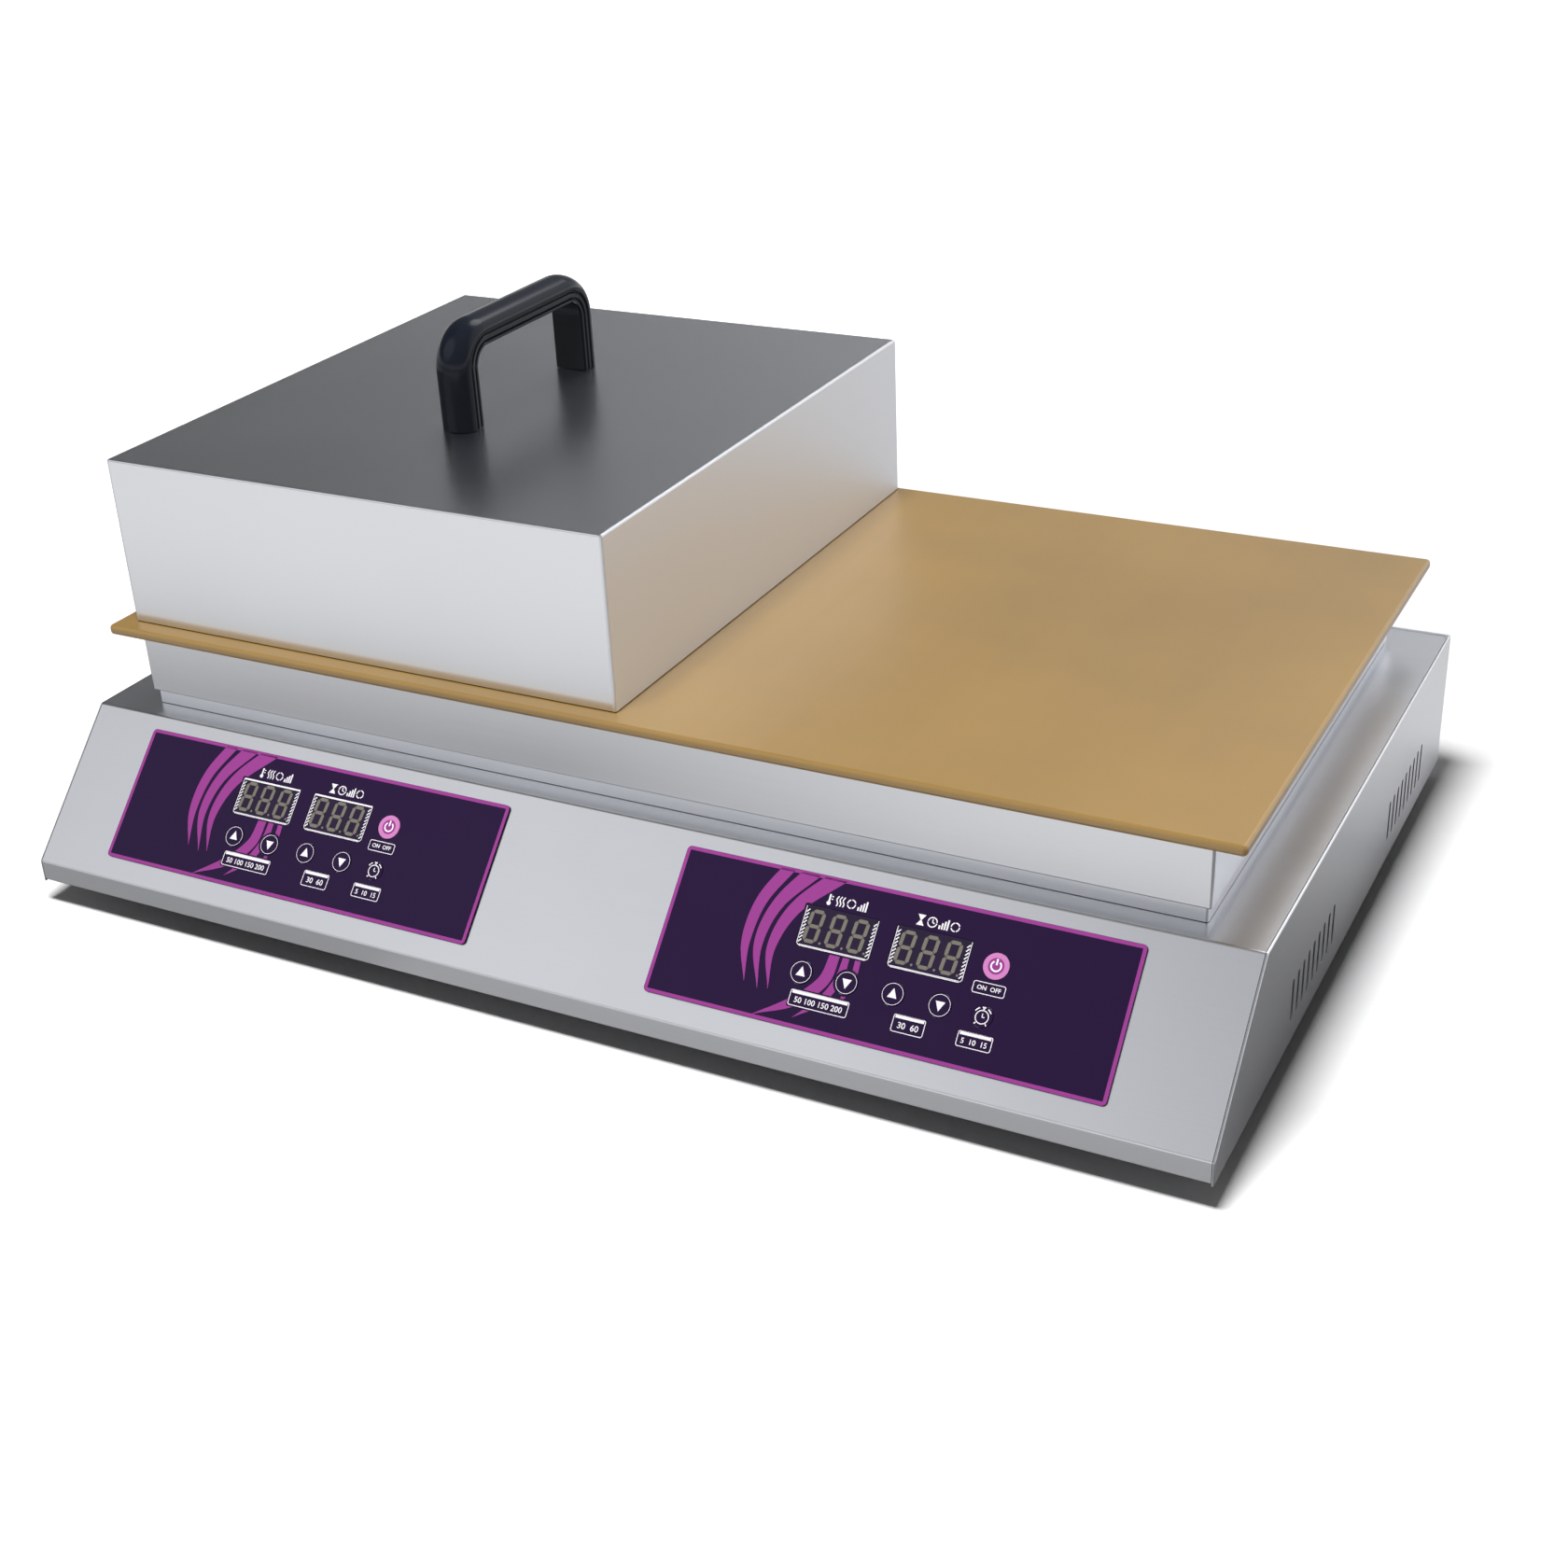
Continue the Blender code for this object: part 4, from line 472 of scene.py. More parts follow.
def through(values, t):
    """Run a smooth curve through evenly timed values and give its value at a time."""
    last = len(values) - 1
    index = min(int(t * last), last - 1)
    share = t * last - index
    one, two = values[index], values[index + 1]
    before = values[index - 1] if index else one * 2 - two
    after = values[index + 2] if index + 2 <= last else two * 2 - one
    return (one * 2 + (two - before) * share
            + (before * 2 - one * 5 + two * 4 - after) * share ** 2
            + (one * 3 - before - two * 3 + after) * share ** 3) / 2


def ribbon(points, widths, steps=36):
    """Outline a curved stripe through some points, as wide at each as given."""
    points = [Vector(point) for point in points]
    left, right = [], []
    nudge, least = 0.01, widths[0] / 40
    for step in range(steps + 1):
        t = step / steps
        along = through(points, min(t + nudge, 1.0)) - through(points, max(t - nudge, 0.0))
        side = Vector((-along.y, along.x)).normalized()
        side *= max(through(widths, t), least) / 2
        left.append(through(points, t) + side)
        right.append(through(points, t) - side)
    return left + right[::-1]


def ring_at(bm, outline, height):
    """Add the points of a flat outline at a height."""
    return [bm.verts.new((point[0], point[1], height)) for point in outline]


def bridge(bm, rings, closed=False, capped=False):
    """Join rings of points one after the other, and back to the first or capped if asked."""
    if capped:
        bm.faces.new(rings[0][::-1])
        bm.faces.new(rings[-1])
    for one, other in zip(rings, rings[1:] + (rings[:1] if closed else [])):
        for corners in zip(one, one[1:] + one[:1], other[1:] + other[:1], other):
            bm.faces.new(corners)


def box_sweep(profile, low, high, corner, closed):
    """Carry a profile of (inset, height) points round a rectangle with round corners."""
    bm = bmesh.new()
    middle, half = (low + high) / 2, (high - low) / 2
    rings = [ring_at(bm, rounded_rectangle((half.x - inset, half.y - inset),
                                           max(corner - inset, LEAST_CORNER), middle.xy),
                     height) for inset, height in profile]
    bridge(bm, rings, closed, not closed)
    return mesh_of(bm, weld=True)


def turned(profile, steps=48, closed=False):
    """Turn a profile of (radius, height) points about Z."""
    bm = bmesh.new()
    bridge(bm, [ring_at(bm, circle((0, 0), radius, steps), height)
                for radius, height in profile], closed)
    return mesh_of(bm, weld=True)


def swept(section, path):
    """Carry a flat section along a path in a YZ plane, with closed ends."""
    bm = bmesh.new()
    rings = []
    for point, behind, ahead in zip(path, path[:1] + path, path[1:] + path[-1:]):
        along = (ahead - behind).normalized()
        out = Vector((-along.y, along.x))
        rings.append([bm.verts.new((across, *(point + out * rise)))
                      for across, rise in section])
    bridge(bm, rings, capped=True)
    return mesh_of(bm, weld=True)


def prisms(outlines, low=0.0, high=INK):
    """Raise flat outlines into closed plates, as thin as ink unless told."""
    bm = bmesh.new()
    for outline in outlines:
        bridge(bm, [ring_at(bm, outline, low), ring_at(bm, outline, high)], capped=True)
    return mesh_of(bm)


def bands(pairs):
    """Raise bands of ink, each between an outer and an inner outline."""
    bm = bmesh.new()
    for outer, inner in pairs:
        bridge(bm, [ring_at(bm, outline, height) for outline, height in
                    ((outer, 0.0), (outer, INK), (inner, INK), (inner, 0.0))], closed=True)
    return mesh_of(bm)


def from_curve(curve):
    """Make a closed mesh from a filled curve or a text."""
    return mesh_of(bmesh_of(baked(linked("curve", curve))), weld=True)


def filled_sheet(outline, holes, thickness=SHEET, edge=LEAST_CORNER):
    """Fill an outline with holes and give it thickness and softly rounded edges."""
    curve = bpy.data.curves.new("sheet", "CURVE")
    curve.dimensions, curve.fill_mode = "2D", "BOTH"
    curve.extrude, curve.bevel_depth = thickness / 2 - edge, edge
    curve.bevel_resolution, curve.offset = 1, -edge
    for loop in [outline, *holes]:
        spline = curve.splines.new("POLY")
        spline.points.add(len(loop) - 1)
        spline.points.foreach_set("co", [c for x, y in loop for c in (x, y, 0.0, 1.0)])
        spline.use_cyclic_u = True
    return from_curve(curve)


# Node trees

SOCKETS = {int: "Int", float: "Float", Vector: "Vector", bpy.types.Object: "Object"}
SLOT_END_SHARE, SLOT_END_STEPS = 0.499, 6


def add_node(tree, kind, inputs=None, **settings):
    """Add a node whose inputs are values, sockets, or nodes for their first outputs."""
    made = tree.nodes.new(kind)
    for key, value in settings.items():
        setattr(made, key, value)
    for key, value in (inputs or {}).items():
        for one in value if isinstance(value, list) else [value]:
            if isinstance(one, bpy.types.Node):
                one = one.outputs[0]
            if isinstance(one, bpy.types.NodeSocket):
                tree.links.new(one, made.inputs[key])
            else:
                made.inputs[key].default_value = one
    return made


def math_of(tree, operation, *values):
    """Work out one sum of up to three values."""
    return add_node(tree, "ShaderNodeMath", dict(enumerate(values)), operation=operation)


def run_tree(mesh, name, inputs, build):
    """Run a new tree with named inputs over a mesh, and take the plain mesh."""
    tree = bpy.data.node_groups.new(name, "GeometryNodeTree")
    tree.interface.new_socket("Mesh", in_out="INPUT", socket_type="NodeSocketGeometry")
    ids = {key: tree.interface.new_socket(key, in_out="INPUT", socket_type="NodeSocket"
                                          + SOCKETS[type(value)]).identifier
           for key, value in inputs.items()}
    tree.interface.new_socket("Made", in_out="OUTPUT", socket_type="NodeSocketGeometry")
    made = build(tree, tree.nodes.new("NodeGroupInput").outputs)
    real = add_node(tree, "GeometryNodeRealizeInstances", {"Geometry": made})
    add_node(tree, "NodeGroupOutput", {"Made": real})
    obj = linked("shape", mesh)
    step = obj.modifiers.new(name, "NODES")
    step.node_group = tree
    for key, value in inputs.items():
        step[ids[key]] = value
    result = baked(obj)
    bpy.data.node_groups.remove(tree)
    return result


def put_copies(tree, given):
    """Put the template on every place, turned as the place says."""
    template = add_node(tree, "GeometryNodeObjectInfo", {"Object": given["Template"]})
    turn = add_node(tree, "GeometryNodeInputNamedAttribute", {"Name": "turn"},
                    data_type="FLOAT_VECTOR")
    rotation = add_node(tree, "FunctionNodeEulerToRotation",
                        {"Euler": turn.outputs["Attribute"]})
    return add_node(tree, "GeometryNodeInstanceOnPoints", {
        "Points": given["Mesh"], "Instance": template.outputs["Geometry"],
        "Rotation": rotation})


def copies_of(template, places, turns=()):
    """Put copies of a template mesh on places, each with its own turn."""
    mesh = bpy.data.meshes.new("places")
    mesh.from_pydata([tuple(place) for place in places], [], [])
    attribute = mesh.attributes.new("turn", "FLOAT_VECTOR", "POINT")
    for index, turn in enumerate(turns):
        attribute.data[index].vector = turn
    pattern = linked("template", template)
    made = run_tree(mesh, "Copies on places", {"Template": pattern}, put_copies)
    bpy.data.objects.remove(pattern, do_unlink=True)
    return made


def cut_slots(tree, given):
    """Cut a row of round-ended slots through the mesh."""
    width, depth = given["Slot width"], given["Depth"]
    shape = add_node(tree, "GeometryNodeCurvePrimitiveQuadrilateral",
                     {"Width": width, "Height": given["Slot height"]})
    ends = add_node(tree, "GeometryNodeFilletCurve", {
        "Curve": shape, "Radius": math_of(tree, "MULTIPLY", width, SLOT_END_SHARE),
        "Count": SLOT_END_STEPS}, mode="POLY")
    fill = add_node(tree, "GeometryNodeFillCurve", {"Curve": ends}, mode="NGONS")
    raised = add_node(tree, "GeometryNodeExtrudeMesh", {"Mesh": fill, "Offset Scale": depth},
                      mode="FACES")
    flipped = add_node(tree, "GeometryNodeFlipFaces", {"Mesh": fill})
    both = add_node(tree, "GeometryNodeJoinGeometry", {"Geometry": [raised, flipped]})
    shut = add_node(tree, "GeometryNodeMergeByDistance", {"Geometry": both, "Distance": WELD})
    back = add_node(tree, "ShaderNodeCombineXYZ",
                    {"Z": math_of(tree, "MULTIPLY", depth, -0.5)})
    centred = add_node(tree, "GeometryNodeTransform", {"Geometry": shut, "Translation": back})
    row = add_node(tree, "GeometryNodeMeshLine", {
        "Count": given["Count"], "Start Location": given["First slot"],
        "Offset": given["Step"]}, mode="OFFSET")
    rotation = add_node(tree, "FunctionNodeEulerToRotation", {"Euler": given["Turn"]})
    cutters = add_node(tree, "GeometryNodeInstanceOnPoints", {
        "Points": row, "Instance": centred, "Rotation": rotation})
    real = add_node(tree, "GeometryNodeRealizeInstances", {"Geometry": cutters})
    return add_node(tree, "GeometryNodeMeshBoolean", {
        "Mesh 1": given["Mesh"], "Mesh 2": real}, operation="DIFFERENCE", solver="EXACT")


def vented(mesh, middle, along, turn, row_width, count):
    """Cut one row of air slots through a sheet, centred on its middle."""
    vents = bpy.context.scene.pancake_vents
    reach = Vector(along) * (row_width - vents.slot_width)
    return run_tree(mesh, "Row of air slots", {
        "Count": count, "Slot width": vents.slot_width, "Slot height": vents.slot_height,
        "Depth": SHEET + 2 * OVERRUN, "First slot": Vector(middle) - reach / 2,
        "Step": reach / (count - 1), "Turn": Vector(turn)}, cut_slots)


def stand_ribs(tree, given):
    """Stand a ring of ribs round the mesh."""
    ring = add_node(tree, "GeometryNodeMeshCircle", {
        "Vertices": given["Count"], "Radius": given["Radius"]})
    facing = add_node(tree, "GeometryNodeInputPosition")
    align = add_node(tree, "FunctionNodeAlignRotationToVector", {"Vector": facing}, axis="X")
    rib = add_node(tree, "GeometryNodeMeshCube", {"Size": given["Rib size"]})
    ribs = add_node(tree, "GeometryNodeInstanceOnPoints", {
        "Points": ring, "Instance": rib, "Rotation": align})
    lift = add_node(tree, "ShaderNodeCombineXYZ", {"Z": given["Height"]})
    lifted = add_node(tree, "GeometryNodeTransform", {"Geometry": ribs, "Translation": lift})
    return add_node(tree, "GeometryNodeJoinGeometry", {"Geometry": [given["Mesh"], lifted]})


# Finishes

# Noise values between which a soft change runs
WIDE = (0.2, 0.8)
# Where the lid's side walls start to count and count in full, in from its sides
LID_SIDE_FADE = (2 * MM, 1 * MM)


def new_finish(name, roughness, metallic=0.0, **constants):
    """Make a material, set what is the same all over it and give it with its tree."""
    material = bpy.data.materials.new(name)
    material.use_nodes = True
    shader = material.node_tree.nodes["Principled BSDF"]
    for key, value in {"Roughness": roughness, "Metallic": metallic, **constants}.items():
        shader.inputs[key.replace("_", " ")].default_value = value
    return material, material.node_tree


def dressed(material, colour, rough=None, height=None, strength=0.0, distance=0.2 * MM):
    """Lead a colour, a roughness and a fine relief to a material's shader."""
    tree = material.node_tree
    ends = {"Base Color": colour, "Roughness": rough}
    if height:
        ends["Normal"] = add_node(tree, "ShaderNodeBump", {
            "Height": height, "Strength": strength, "Distance": distance}).outputs[0]
    for key, socket in ends.items():
        if socket:
            tree.links.new(socket, tree.nodes["Principled BSDF"].inputs[key])
    return material


def object_places(tree, stretch=(1.0, 1.0, 1.0)):
    """Read places on the piece, stretched."""
    coords = tree.nodes.new("ShaderNodeTexCoord")
    return add_node(tree, "ShaderNodeMapping", {
        "Vector": coords.outputs["Object"], "Scale": stretch}).outputs[0]


def noise(tree, scale, detail=3.0, roughness=0.55, stretch=(1.0, 1.0, 1.0)):
    """Add a noise on the piece and give its value."""
    return add_node(tree, "ShaderNodeTexNoise", {
        "Vector": object_places(tree, stretch), "Scale": scale, "Detail": detail,
        "Roughness": roughness}).outputs["Fac"]


def ranged(tree, value, low, high, start=0.35, end=0.65, kind="LINEAR"):
    """Spread a value between two limits."""
    return add_node(tree, "ShaderNodeMapRange", {
        "Value": value, "From Min": start, "From Max": end, "To Min": low, "To Max": high},
        interpolation_type=kind).outputs["Result"]


def eased(tree, value, start, end, low, high):
    """Spread a value between two limits with a smooth start and end."""
    return ranged(tree, value, low, high, start, end, "SMOOTHSTEP")


def blended(tree, value, one, other, most=1.0, start=0.35, end=0.65):
    """Mix a second colour into a first as a value grows."""
    # Sockets 6 and 7 and output 2 of a mix node are its colours
    return add_node(tree, "ShaderNodeMix", {
        0: ranged(tree, value, 0.0, most, start, end), 6: one, 7: other},
        data_type="RGBA").outputs[2]


def summed(tree, total, *values):
    """Add up values."""
    for value in values:
        total = math_of(tree, "ADD", total, value).outputs[0]
    return total


def tint(colour, share=1.0):
    """Give a colour or a colour setting, lighter or darker, with its alpha."""
    if isinstance(colour, str):
        colour = bpy.context.scene.path_resolve(colour)
    return (*[min(channel * share, 1.0) for channel in colour], 1.0)


def on_lid_sides(tree, share):
    """Give a share on the lid's two side walls and none between them."""
    middle, half = (SHELL_LOW.x + SHELL_HIGH.x) / 2, (SHELL_HIGH.x - SHELL_LOW.x) / 2
    across = add_node(tree, "ShaderNodeSeparateXYZ", {"Vector": object_places(tree)})
    away = math_of(tree, "ABSOLUTE", summed(tree, across.outputs["X"], -middle))
    return ranged(tree, away, 0.0, share, *[half - inset for inset in LID_SIDE_FADE])


def steel_finish(name, grain, roughness=None, depth=0.4, sides=0.0):
    """Satin stainless sheet, brushed along the axis whose grain is smallest."""
    steel = bpy.context.scene.pancake_steel
    colour = tuple(steel.colour)
    roughness = steel.roughness if roughness is None else roughness
    material, tree = new_finish(name, roughness, 1.0)
    brush = noise(tree, 1.0, 4.0, 0.65, grain)
    streak = noise(tree, 1.0, 2.0, stretch=tuple(axis / 14 for axis in grain))
    wiped = noise(tree, 6.0, 4.0)
    rough = summed(tree, ranged(tree, brush, -0.03 * depth, 0.03 * depth),
                   ranged(tree, streak, -0.012 * depth, 0.012 * depth, *WIDE),
                   ranged(tree, wiped, roughness - 0.02, roughness + 0.03, *WIDE))
    if sides:
        rough = summed(tree, rough, on_lid_sides(tree, sides))
    toned = blended(tree, brush, tint(colour, 1.0 - 0.04 * depth),
                    tint(colour, 1.0 + 0.02 * depth))
    clouded = blended(tree, wiped, toned, tint(colour, 0.97), 0.75 * depth, *WIDE)
    return dressed(material, clouded, rough, brush, steel.brush * depth)


def coat_finish(name):
    """Gold-brown non-stick coat with a fine grain and faint heat marks."""
    plate = bpy.context.scene.pancake_plate
    colour = tuple(plate.colour)
    material, tree = new_finish(name, plate.roughness, 0.25, Coat_Weight=0.8,
                                Coat_Roughness=0.35, Coat_IOR=1.6)
    grain = noise(tree, 1500.0, 2.0)
    heat = noise(tree, 5.0, 5.0, 0.6, (1.0, 1.4, 1.0))
    wipe = noise(tree, 1.0, 3.0, stretch=(60.0, 4.0, 60.0))
    toned = blended(tree, heat, tint(colour, 0.90), tint(colour, 1.06))
    flecked = blended(tree, grain, toned, tint(colour, 1.25), 0.22)
    rough = summed(tree, ranged(tree, wipe, -0.03, 0.03),
                   ranged(tree, heat, plate.roughness - 0.04, plate.roughness + 0.05))
    return dressed(material, flecked, rough, grain, 0.22)


def plastic_finish(name, colour, roughness, relief, scale, drift_share=0.12, constants=None):
    """Moulded plastic or rubber with a fine skin and slight colour drift."""
    material, tree = new_finish(name, roughness, **(constants or {}))
    skin, drift = noise(tree, scale, 2.0), noise(tree, 18.0, 3.0)
    toned = blended(tree, drift, tint(colour, 1.0 - drift_share),
                    tint(colour, 1.0 + drift_share), 1.0, *WIDE)
    rough = ranged(tree, drift, roughness - 0.03, roughness + 0.04, *WIDE)
    return dressed(material, toned, rough, skin, relief)


def print_finish(name, colour):
    """Matt film or ink of a key panel, all of one fine texture."""
    return plastic_finish(name, colour, 0.38, 0.08, 1600.0, 0.03, {"Specular_IOR_Level": 0.2})


def metal_finish(name, colour, roughness, grain=(300.0, 300.0, 300.0)):
    """Plain machined or plated metal."""
    material, tree = new_finish(name, roughness, 1.0)
    marks, drift = noise(tree, 1.0, 3.0, stretch=grain), noise(tree, 25.0, 3.0)
    toned = blended(tree, drift, tint(colour, 0.90), tint(colour, 1.06))
    return dressed(material, toned, ranged(tree, marks, roughness - 0.05, roughness + 0.07),
                   marks, 0.06)


def sheath_finish(name):
    """Heater tube, tinted blue and straw by heat."""
    material, tree = new_finish(name, 0.42, 1.0)
    heat, marks = noise(tree, 16.0, 4.0), noise(tree, 700.0, 2.0)
    toned = blended(tree, heat, (0.20, 0.21, 0.26, 1.0), (0.33, 0.27, 0.20, 1.0))
    return dressed(material, toned, ranged(tree, marks, 0.36, 0.50), marks, 0.10)


def fibre_finish(name):
    """Pressed ceramic fibre with a matted surface."""
    material, tree = new_finish(name, 0.95)
    mat, patch = noise(tree, 260.0, 5.0, 0.7, (1.0, 1.0, 3.0)), noise(tree, 14.0, 4.0)
    toned = blended(tree, patch, (0.64, 0.60, 0.50, 1.0), (0.76, 0.73, 0.64, 1.0))
    matted = blended(tree, mat, toned, (0.52, 0.48, 0.40, 1.0), 0.4)
    return dressed(material, matted, None, mat, 0.6, distance=0.8 * MM)


def board_finish(name):
    """Green circuit board with copper tracks under its lacquer."""
    material, tree = new_finish(name, 0.40)
    tracks = add_node(tree, "ShaderNodeTexBrick", {
        "Vector": object_places(tree), "Color1": (0.020, 0.15, 0.065, 1.0),
        "Color2": (0.016, 0.12, 0.055, 1.0), "Mortar": (0.05, 0.24, 0.10, 1.0),
        "Scale": 90.0, "Mortar Size": 0.03, "Brick Width": 0.9, "Row Height": 0.35}).outputs
    lacquer = ranged(tree, noise(tree, 45.0, 3.0), 0.32, 0.48)
    return dressed(material, tracks["Color"], lacquer, tracks["Fac"], 0.15)


def glass_finish(name):
    """Dark display window with a faint haze of fingerprints."""
    material, tree = new_finish(name, 0.25, Specular_IOR_Level=0.2)
    haze = noise(tree, 60.0, 4.0)
    toned = blended(tree, haze, (0.011, 0.006, 0.022, 1.0), (0.017, 0.009, 0.031, 1.0))
    return dressed(material, toned, ranged(tree, haze, 0.20, 0.32))


# Each finish: its maker and what the maker is given after the name
FINISH_MAKERS = {
    "satin_steel_across": (steel_finish, (7.0, 900.0, 900.0)),
    "satin_steel_depth": (steel_finish, (900.0, 7.0, 900.0)),
    "lid_steel": (steel_finish, (900.0, 9.0, 900.0), 0.25, 0.0, 0.25),
    "gold_coat": (coat_finish,),
    "grip_plastic": (plastic_finish, "pancake_lid.grip_colour", 0.24, 0.04, 700.0, 0.12,
                     {"Specular_IOR_Level": 0.12, "Coat_Weight": 0.18,
                      "Coat_Roughness": 0.10}),
    "foot_rubber": (plastic_finish, (0.016, 0.016, 0.017), 0.72, 0.35, 900.0),
    "gland_nylon": (plastic_finish, (0.020, 0.020, 0.022), 0.45, 0.15, 600.0),
    "relay_plastic": (plastic_finish, (0.19, 0.20, 0.21), 0.50, 0.20, 500.0),
    "terminal_plastic": (plastic_finish, (0.70, 0.66, 0.56), 0.55, 0.15, 500.0),
    "panel_film": (print_finish, "pancake_panel.film"),
    "key_film": (print_finish, "pancake_panel.film"),
    "stripe_ink": (print_finish, "pancake_panel.stripe"),
    "white_ink": (print_finish, (0.76, 0.74, 0.77)),
    "pink_ink": (print_finish, (0.52, 0.19, 0.43)),
    "unlit_segment": (print_finish, (0.16, 0.145, 0.12)),
    "screw_steel": (metal_finish, (0.68, 0.68, 0.69), 0.24),
    "bare_aluminium": (metal_finish, (0.72, 0.73, 0.74), 0.38, (30.0, 900.0, 900.0)),
    "brass": (metal_finish, (0.60, 0.42, 0.16), 0.30),
    "display_window": (glass_finish,),
    "heater_sheath": (sheath_finish,),
    "ceramic_fibre": (fibre_finish,),
    "circuit_board": (board_finish,),
}
FINISHES = {}


def finish(name):
    """Give one of the shared finishes, made on first use."""
    if name not in FINISHES:
        maker, *values = FINISH_MAKERS[name]
        FINISHES[name] = maker(name, *values)
    return FINISHES[name]


# Housing


def add_sheet(name, mesh, node, look="satin_steel_across"):
    """Add a stainless sheet that stands for one packed node."""
    add_piece(name, mesh, look, [node])


def housing_path():
    """Give the outer corners of the folded front cover as (depth, height)."""
    lap = COVER_HIGH.y
    return [Vector(corner) for corner in (
        (FRONT_Y + RETURN_WIDTH, HOUSING_Z), (FRONT_Y, HOUSING_Z),
        (FRONT_Y, HOUSING_Z + LIP_HEIGHT), (FRONT_Y + SLOPE_RUN, DECK_Z), (lap, DECK_Z),
        (lap, DECK_Z - DECK_LAP))]


def panel_openings(room, corner, steps, key_radius, key_steps=48):
    """Outline a panel's windows with some room, and its keys with a radius for each."""
    half = [side / 2 + room for side in WINDOW_SIZE]
    windows = [rounded_rectangle(half, corner, place, steps) for place in WINDOWS.values()]
    return windows + [circle(key_middle(name), key_radius(radius), key_steps)
                      for name, (_, radius) in KEYS.items()]


def make_front_cover():
    """Fold the lip, slope and deck from one sheet, and open it for heaters and keys."""
    path = housing_path()
    outside = corner_arcs(path, BEND)
    inside = corner_arcs(beside(path, SHEET), BEND - SHEET)
    cover = moved(prisms([outside + inside[::-1]], COVER_LOW.x, COVER_HIGH.x), TO_DEPTH)
    hole = BOX_HIGH.x - DECK_HOLE_MARGIN
    cover = with_tool(cover, blocks((
        (-hole, BOX_LOW.y + DECK_HOLE_MARGIN, DECK_Z - SHEET - OVERRUN),
        (hole, BOX_HIGH.y - DECK_HOLE_MARGIN, DECK_Z + OVERRUN))))
    openings = panel_openings(FIT, LEAST_CORNER, 1, lambda radius: STEM_RADIUS + FIT, 24)
    cutters = [prisms(placed(openings, (panel_x, PANEL_UP)), -SHEET - OVERRUN, PANEL_LIFT / 2)
               for panel_x in PANEL_X.values()]
    return with_tool(cover, moved(merged(*cutters), SLOPE))


def make_side_sheet(sign):
    """Cut a side sheet, fold its flanges inwards and vent it."""
    vents = bpy.context.scene.pancake_vents
    path = [*housing_path()[1:4], (BACK_Y, DECK_Z)]
    outline = corner_arcs(path, BEND) + [(BACK_Y, HOUSING_Z)]
    sheet = moved(prisms([outline], HALF_WIDTH - SHEET, HALF_WIDTH), TO_DEPTH)
    inner, outer = HALF_WIDTH - SHEET - RETURN_WIDTH, HALF_WIDTH - SHEET / 2
    flanges = blocks(
        ((inner, FRONT_Y + RETURN_WIDTH + FIT, HOUSING_Z + FLANGE_LIFT),
         (outer, BACK_Y - 4 * SHEET, HOUSING_Z + SHEET)),
        ((inner, BACK_Y - 2 * SHEET - FIT, HOUSING_Z + 2 * SHEET),
         (outer, BACK_Y - SHEET - FIT, DECK_Z - DECK_LAP - SHEET)))
    sheet = with_tool(sheet, flanges, "UNION")
    sheet = with_round_edges(sheet, lambda co: co.x > HALF_WIDTH - TOUCH, EDGE_ROUND)
    height = HOUSING_Z + SIDE_ROW_UP + vents.slot_height / 2
    for depth in SIDE_ROWS:
        sheet = vented(sheet, (outer, depth, height), (0, 1, 0),
                       (math.pi / 2, 0.0, math.pi / 2), SIDE_ROW_WIDTH, vents.side_count)
    if sign < 0:
        sheet.transform(Matrix.Scale(-1, 4, (1, 0, 0)))
        sheet.flip_normals()
    return sheet


def make_rear_sheet():
    """Cut the rear sheet with its gland hole and air slots."""
    vents = bpy.context.scene.pancake_vents
    low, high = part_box("rear_panel")
    middle, half = (low + high) / 2, (high - low) / 2
    gland = node_middle("cable_gland")
    outline = rounded_rectangle((half.x, half.z), LEAST_CORNER, (0.0, middle.z), 2)
    sheet = moved(filled_sheet(outline, [circle((gland.x, gland.z), GLAND_HOLE)]),
                  Matrix.Translation((0.0, middle.y, 0.0)) @ TO_BACK)
    height = HOUSING_Z + REAR_ROW_UP + vents.slot_height / 2
    return vented(sheet, (REAR_ROW_X, middle.y, height), (1, 0, 0), (math.pi / 2, 0.0, 0.0),
                  REAR_ROW_WIDTH, vents.rear_count)


def make_floor_sheet():
    """Cut the bottom sheet with holes for the feet and the earth stud, and vent it."""
    vents = bpy.context.scene.pancake_vents
    middle, half = (FLOOR_LOW + FLOOR_HIGH) / 2, (FLOOR_HIGH - FLOOR_LOW) / 2
    holes = [circle(node_middle(node).xy, FOOT_HOLE, 32) for node in FEET]
    holes.append(circle(node_middle("earth_stud").xy, EARTH_HOLE, 24))
    sheet = moved(filled_sheet(rounded_rectangle(half, LEAST_CORNER, middle.xy, 2), holes),
                  Matrix.Translation((0.0, 0.0, middle.z)))
    for sign in SIDES.values():
        sheet = vented(sheet, (sign * (HALF_WIDTH - FLOOR_ROW_IN), FLOOR_ROW_Y, middle.z),
                       (1, 0, 0), (0.0, 0.0, 0.0), FLOOR_ROW_WIDTH, vents.floor_count)
    return sheet


class PANCAKE_OT_housing(bpy.types.Operator):
    """Fold the housing's cover, sides, back and bottom from satin sheet"""

    bl_idname = "pancake.housing"
    bl_label = "Housing sheets"

    def execute(self, context):
        add_sheet("front_cover", make_front_cover(), "main_cover")
        for side, sign in SIDES.items():
            add_sheet("side_sheet_" + side, make_side_sheet(sign), "side_panel_" + side,
                      "satin_steel_depth")
        add_sheet("rear_sheet", make_rear_sheet(), "rear_panel")
        add_sheet("floor_sheet", make_floor_sheet(), "bottom_plate")
        return {"FINISHED"}


# Feet, screws and gland

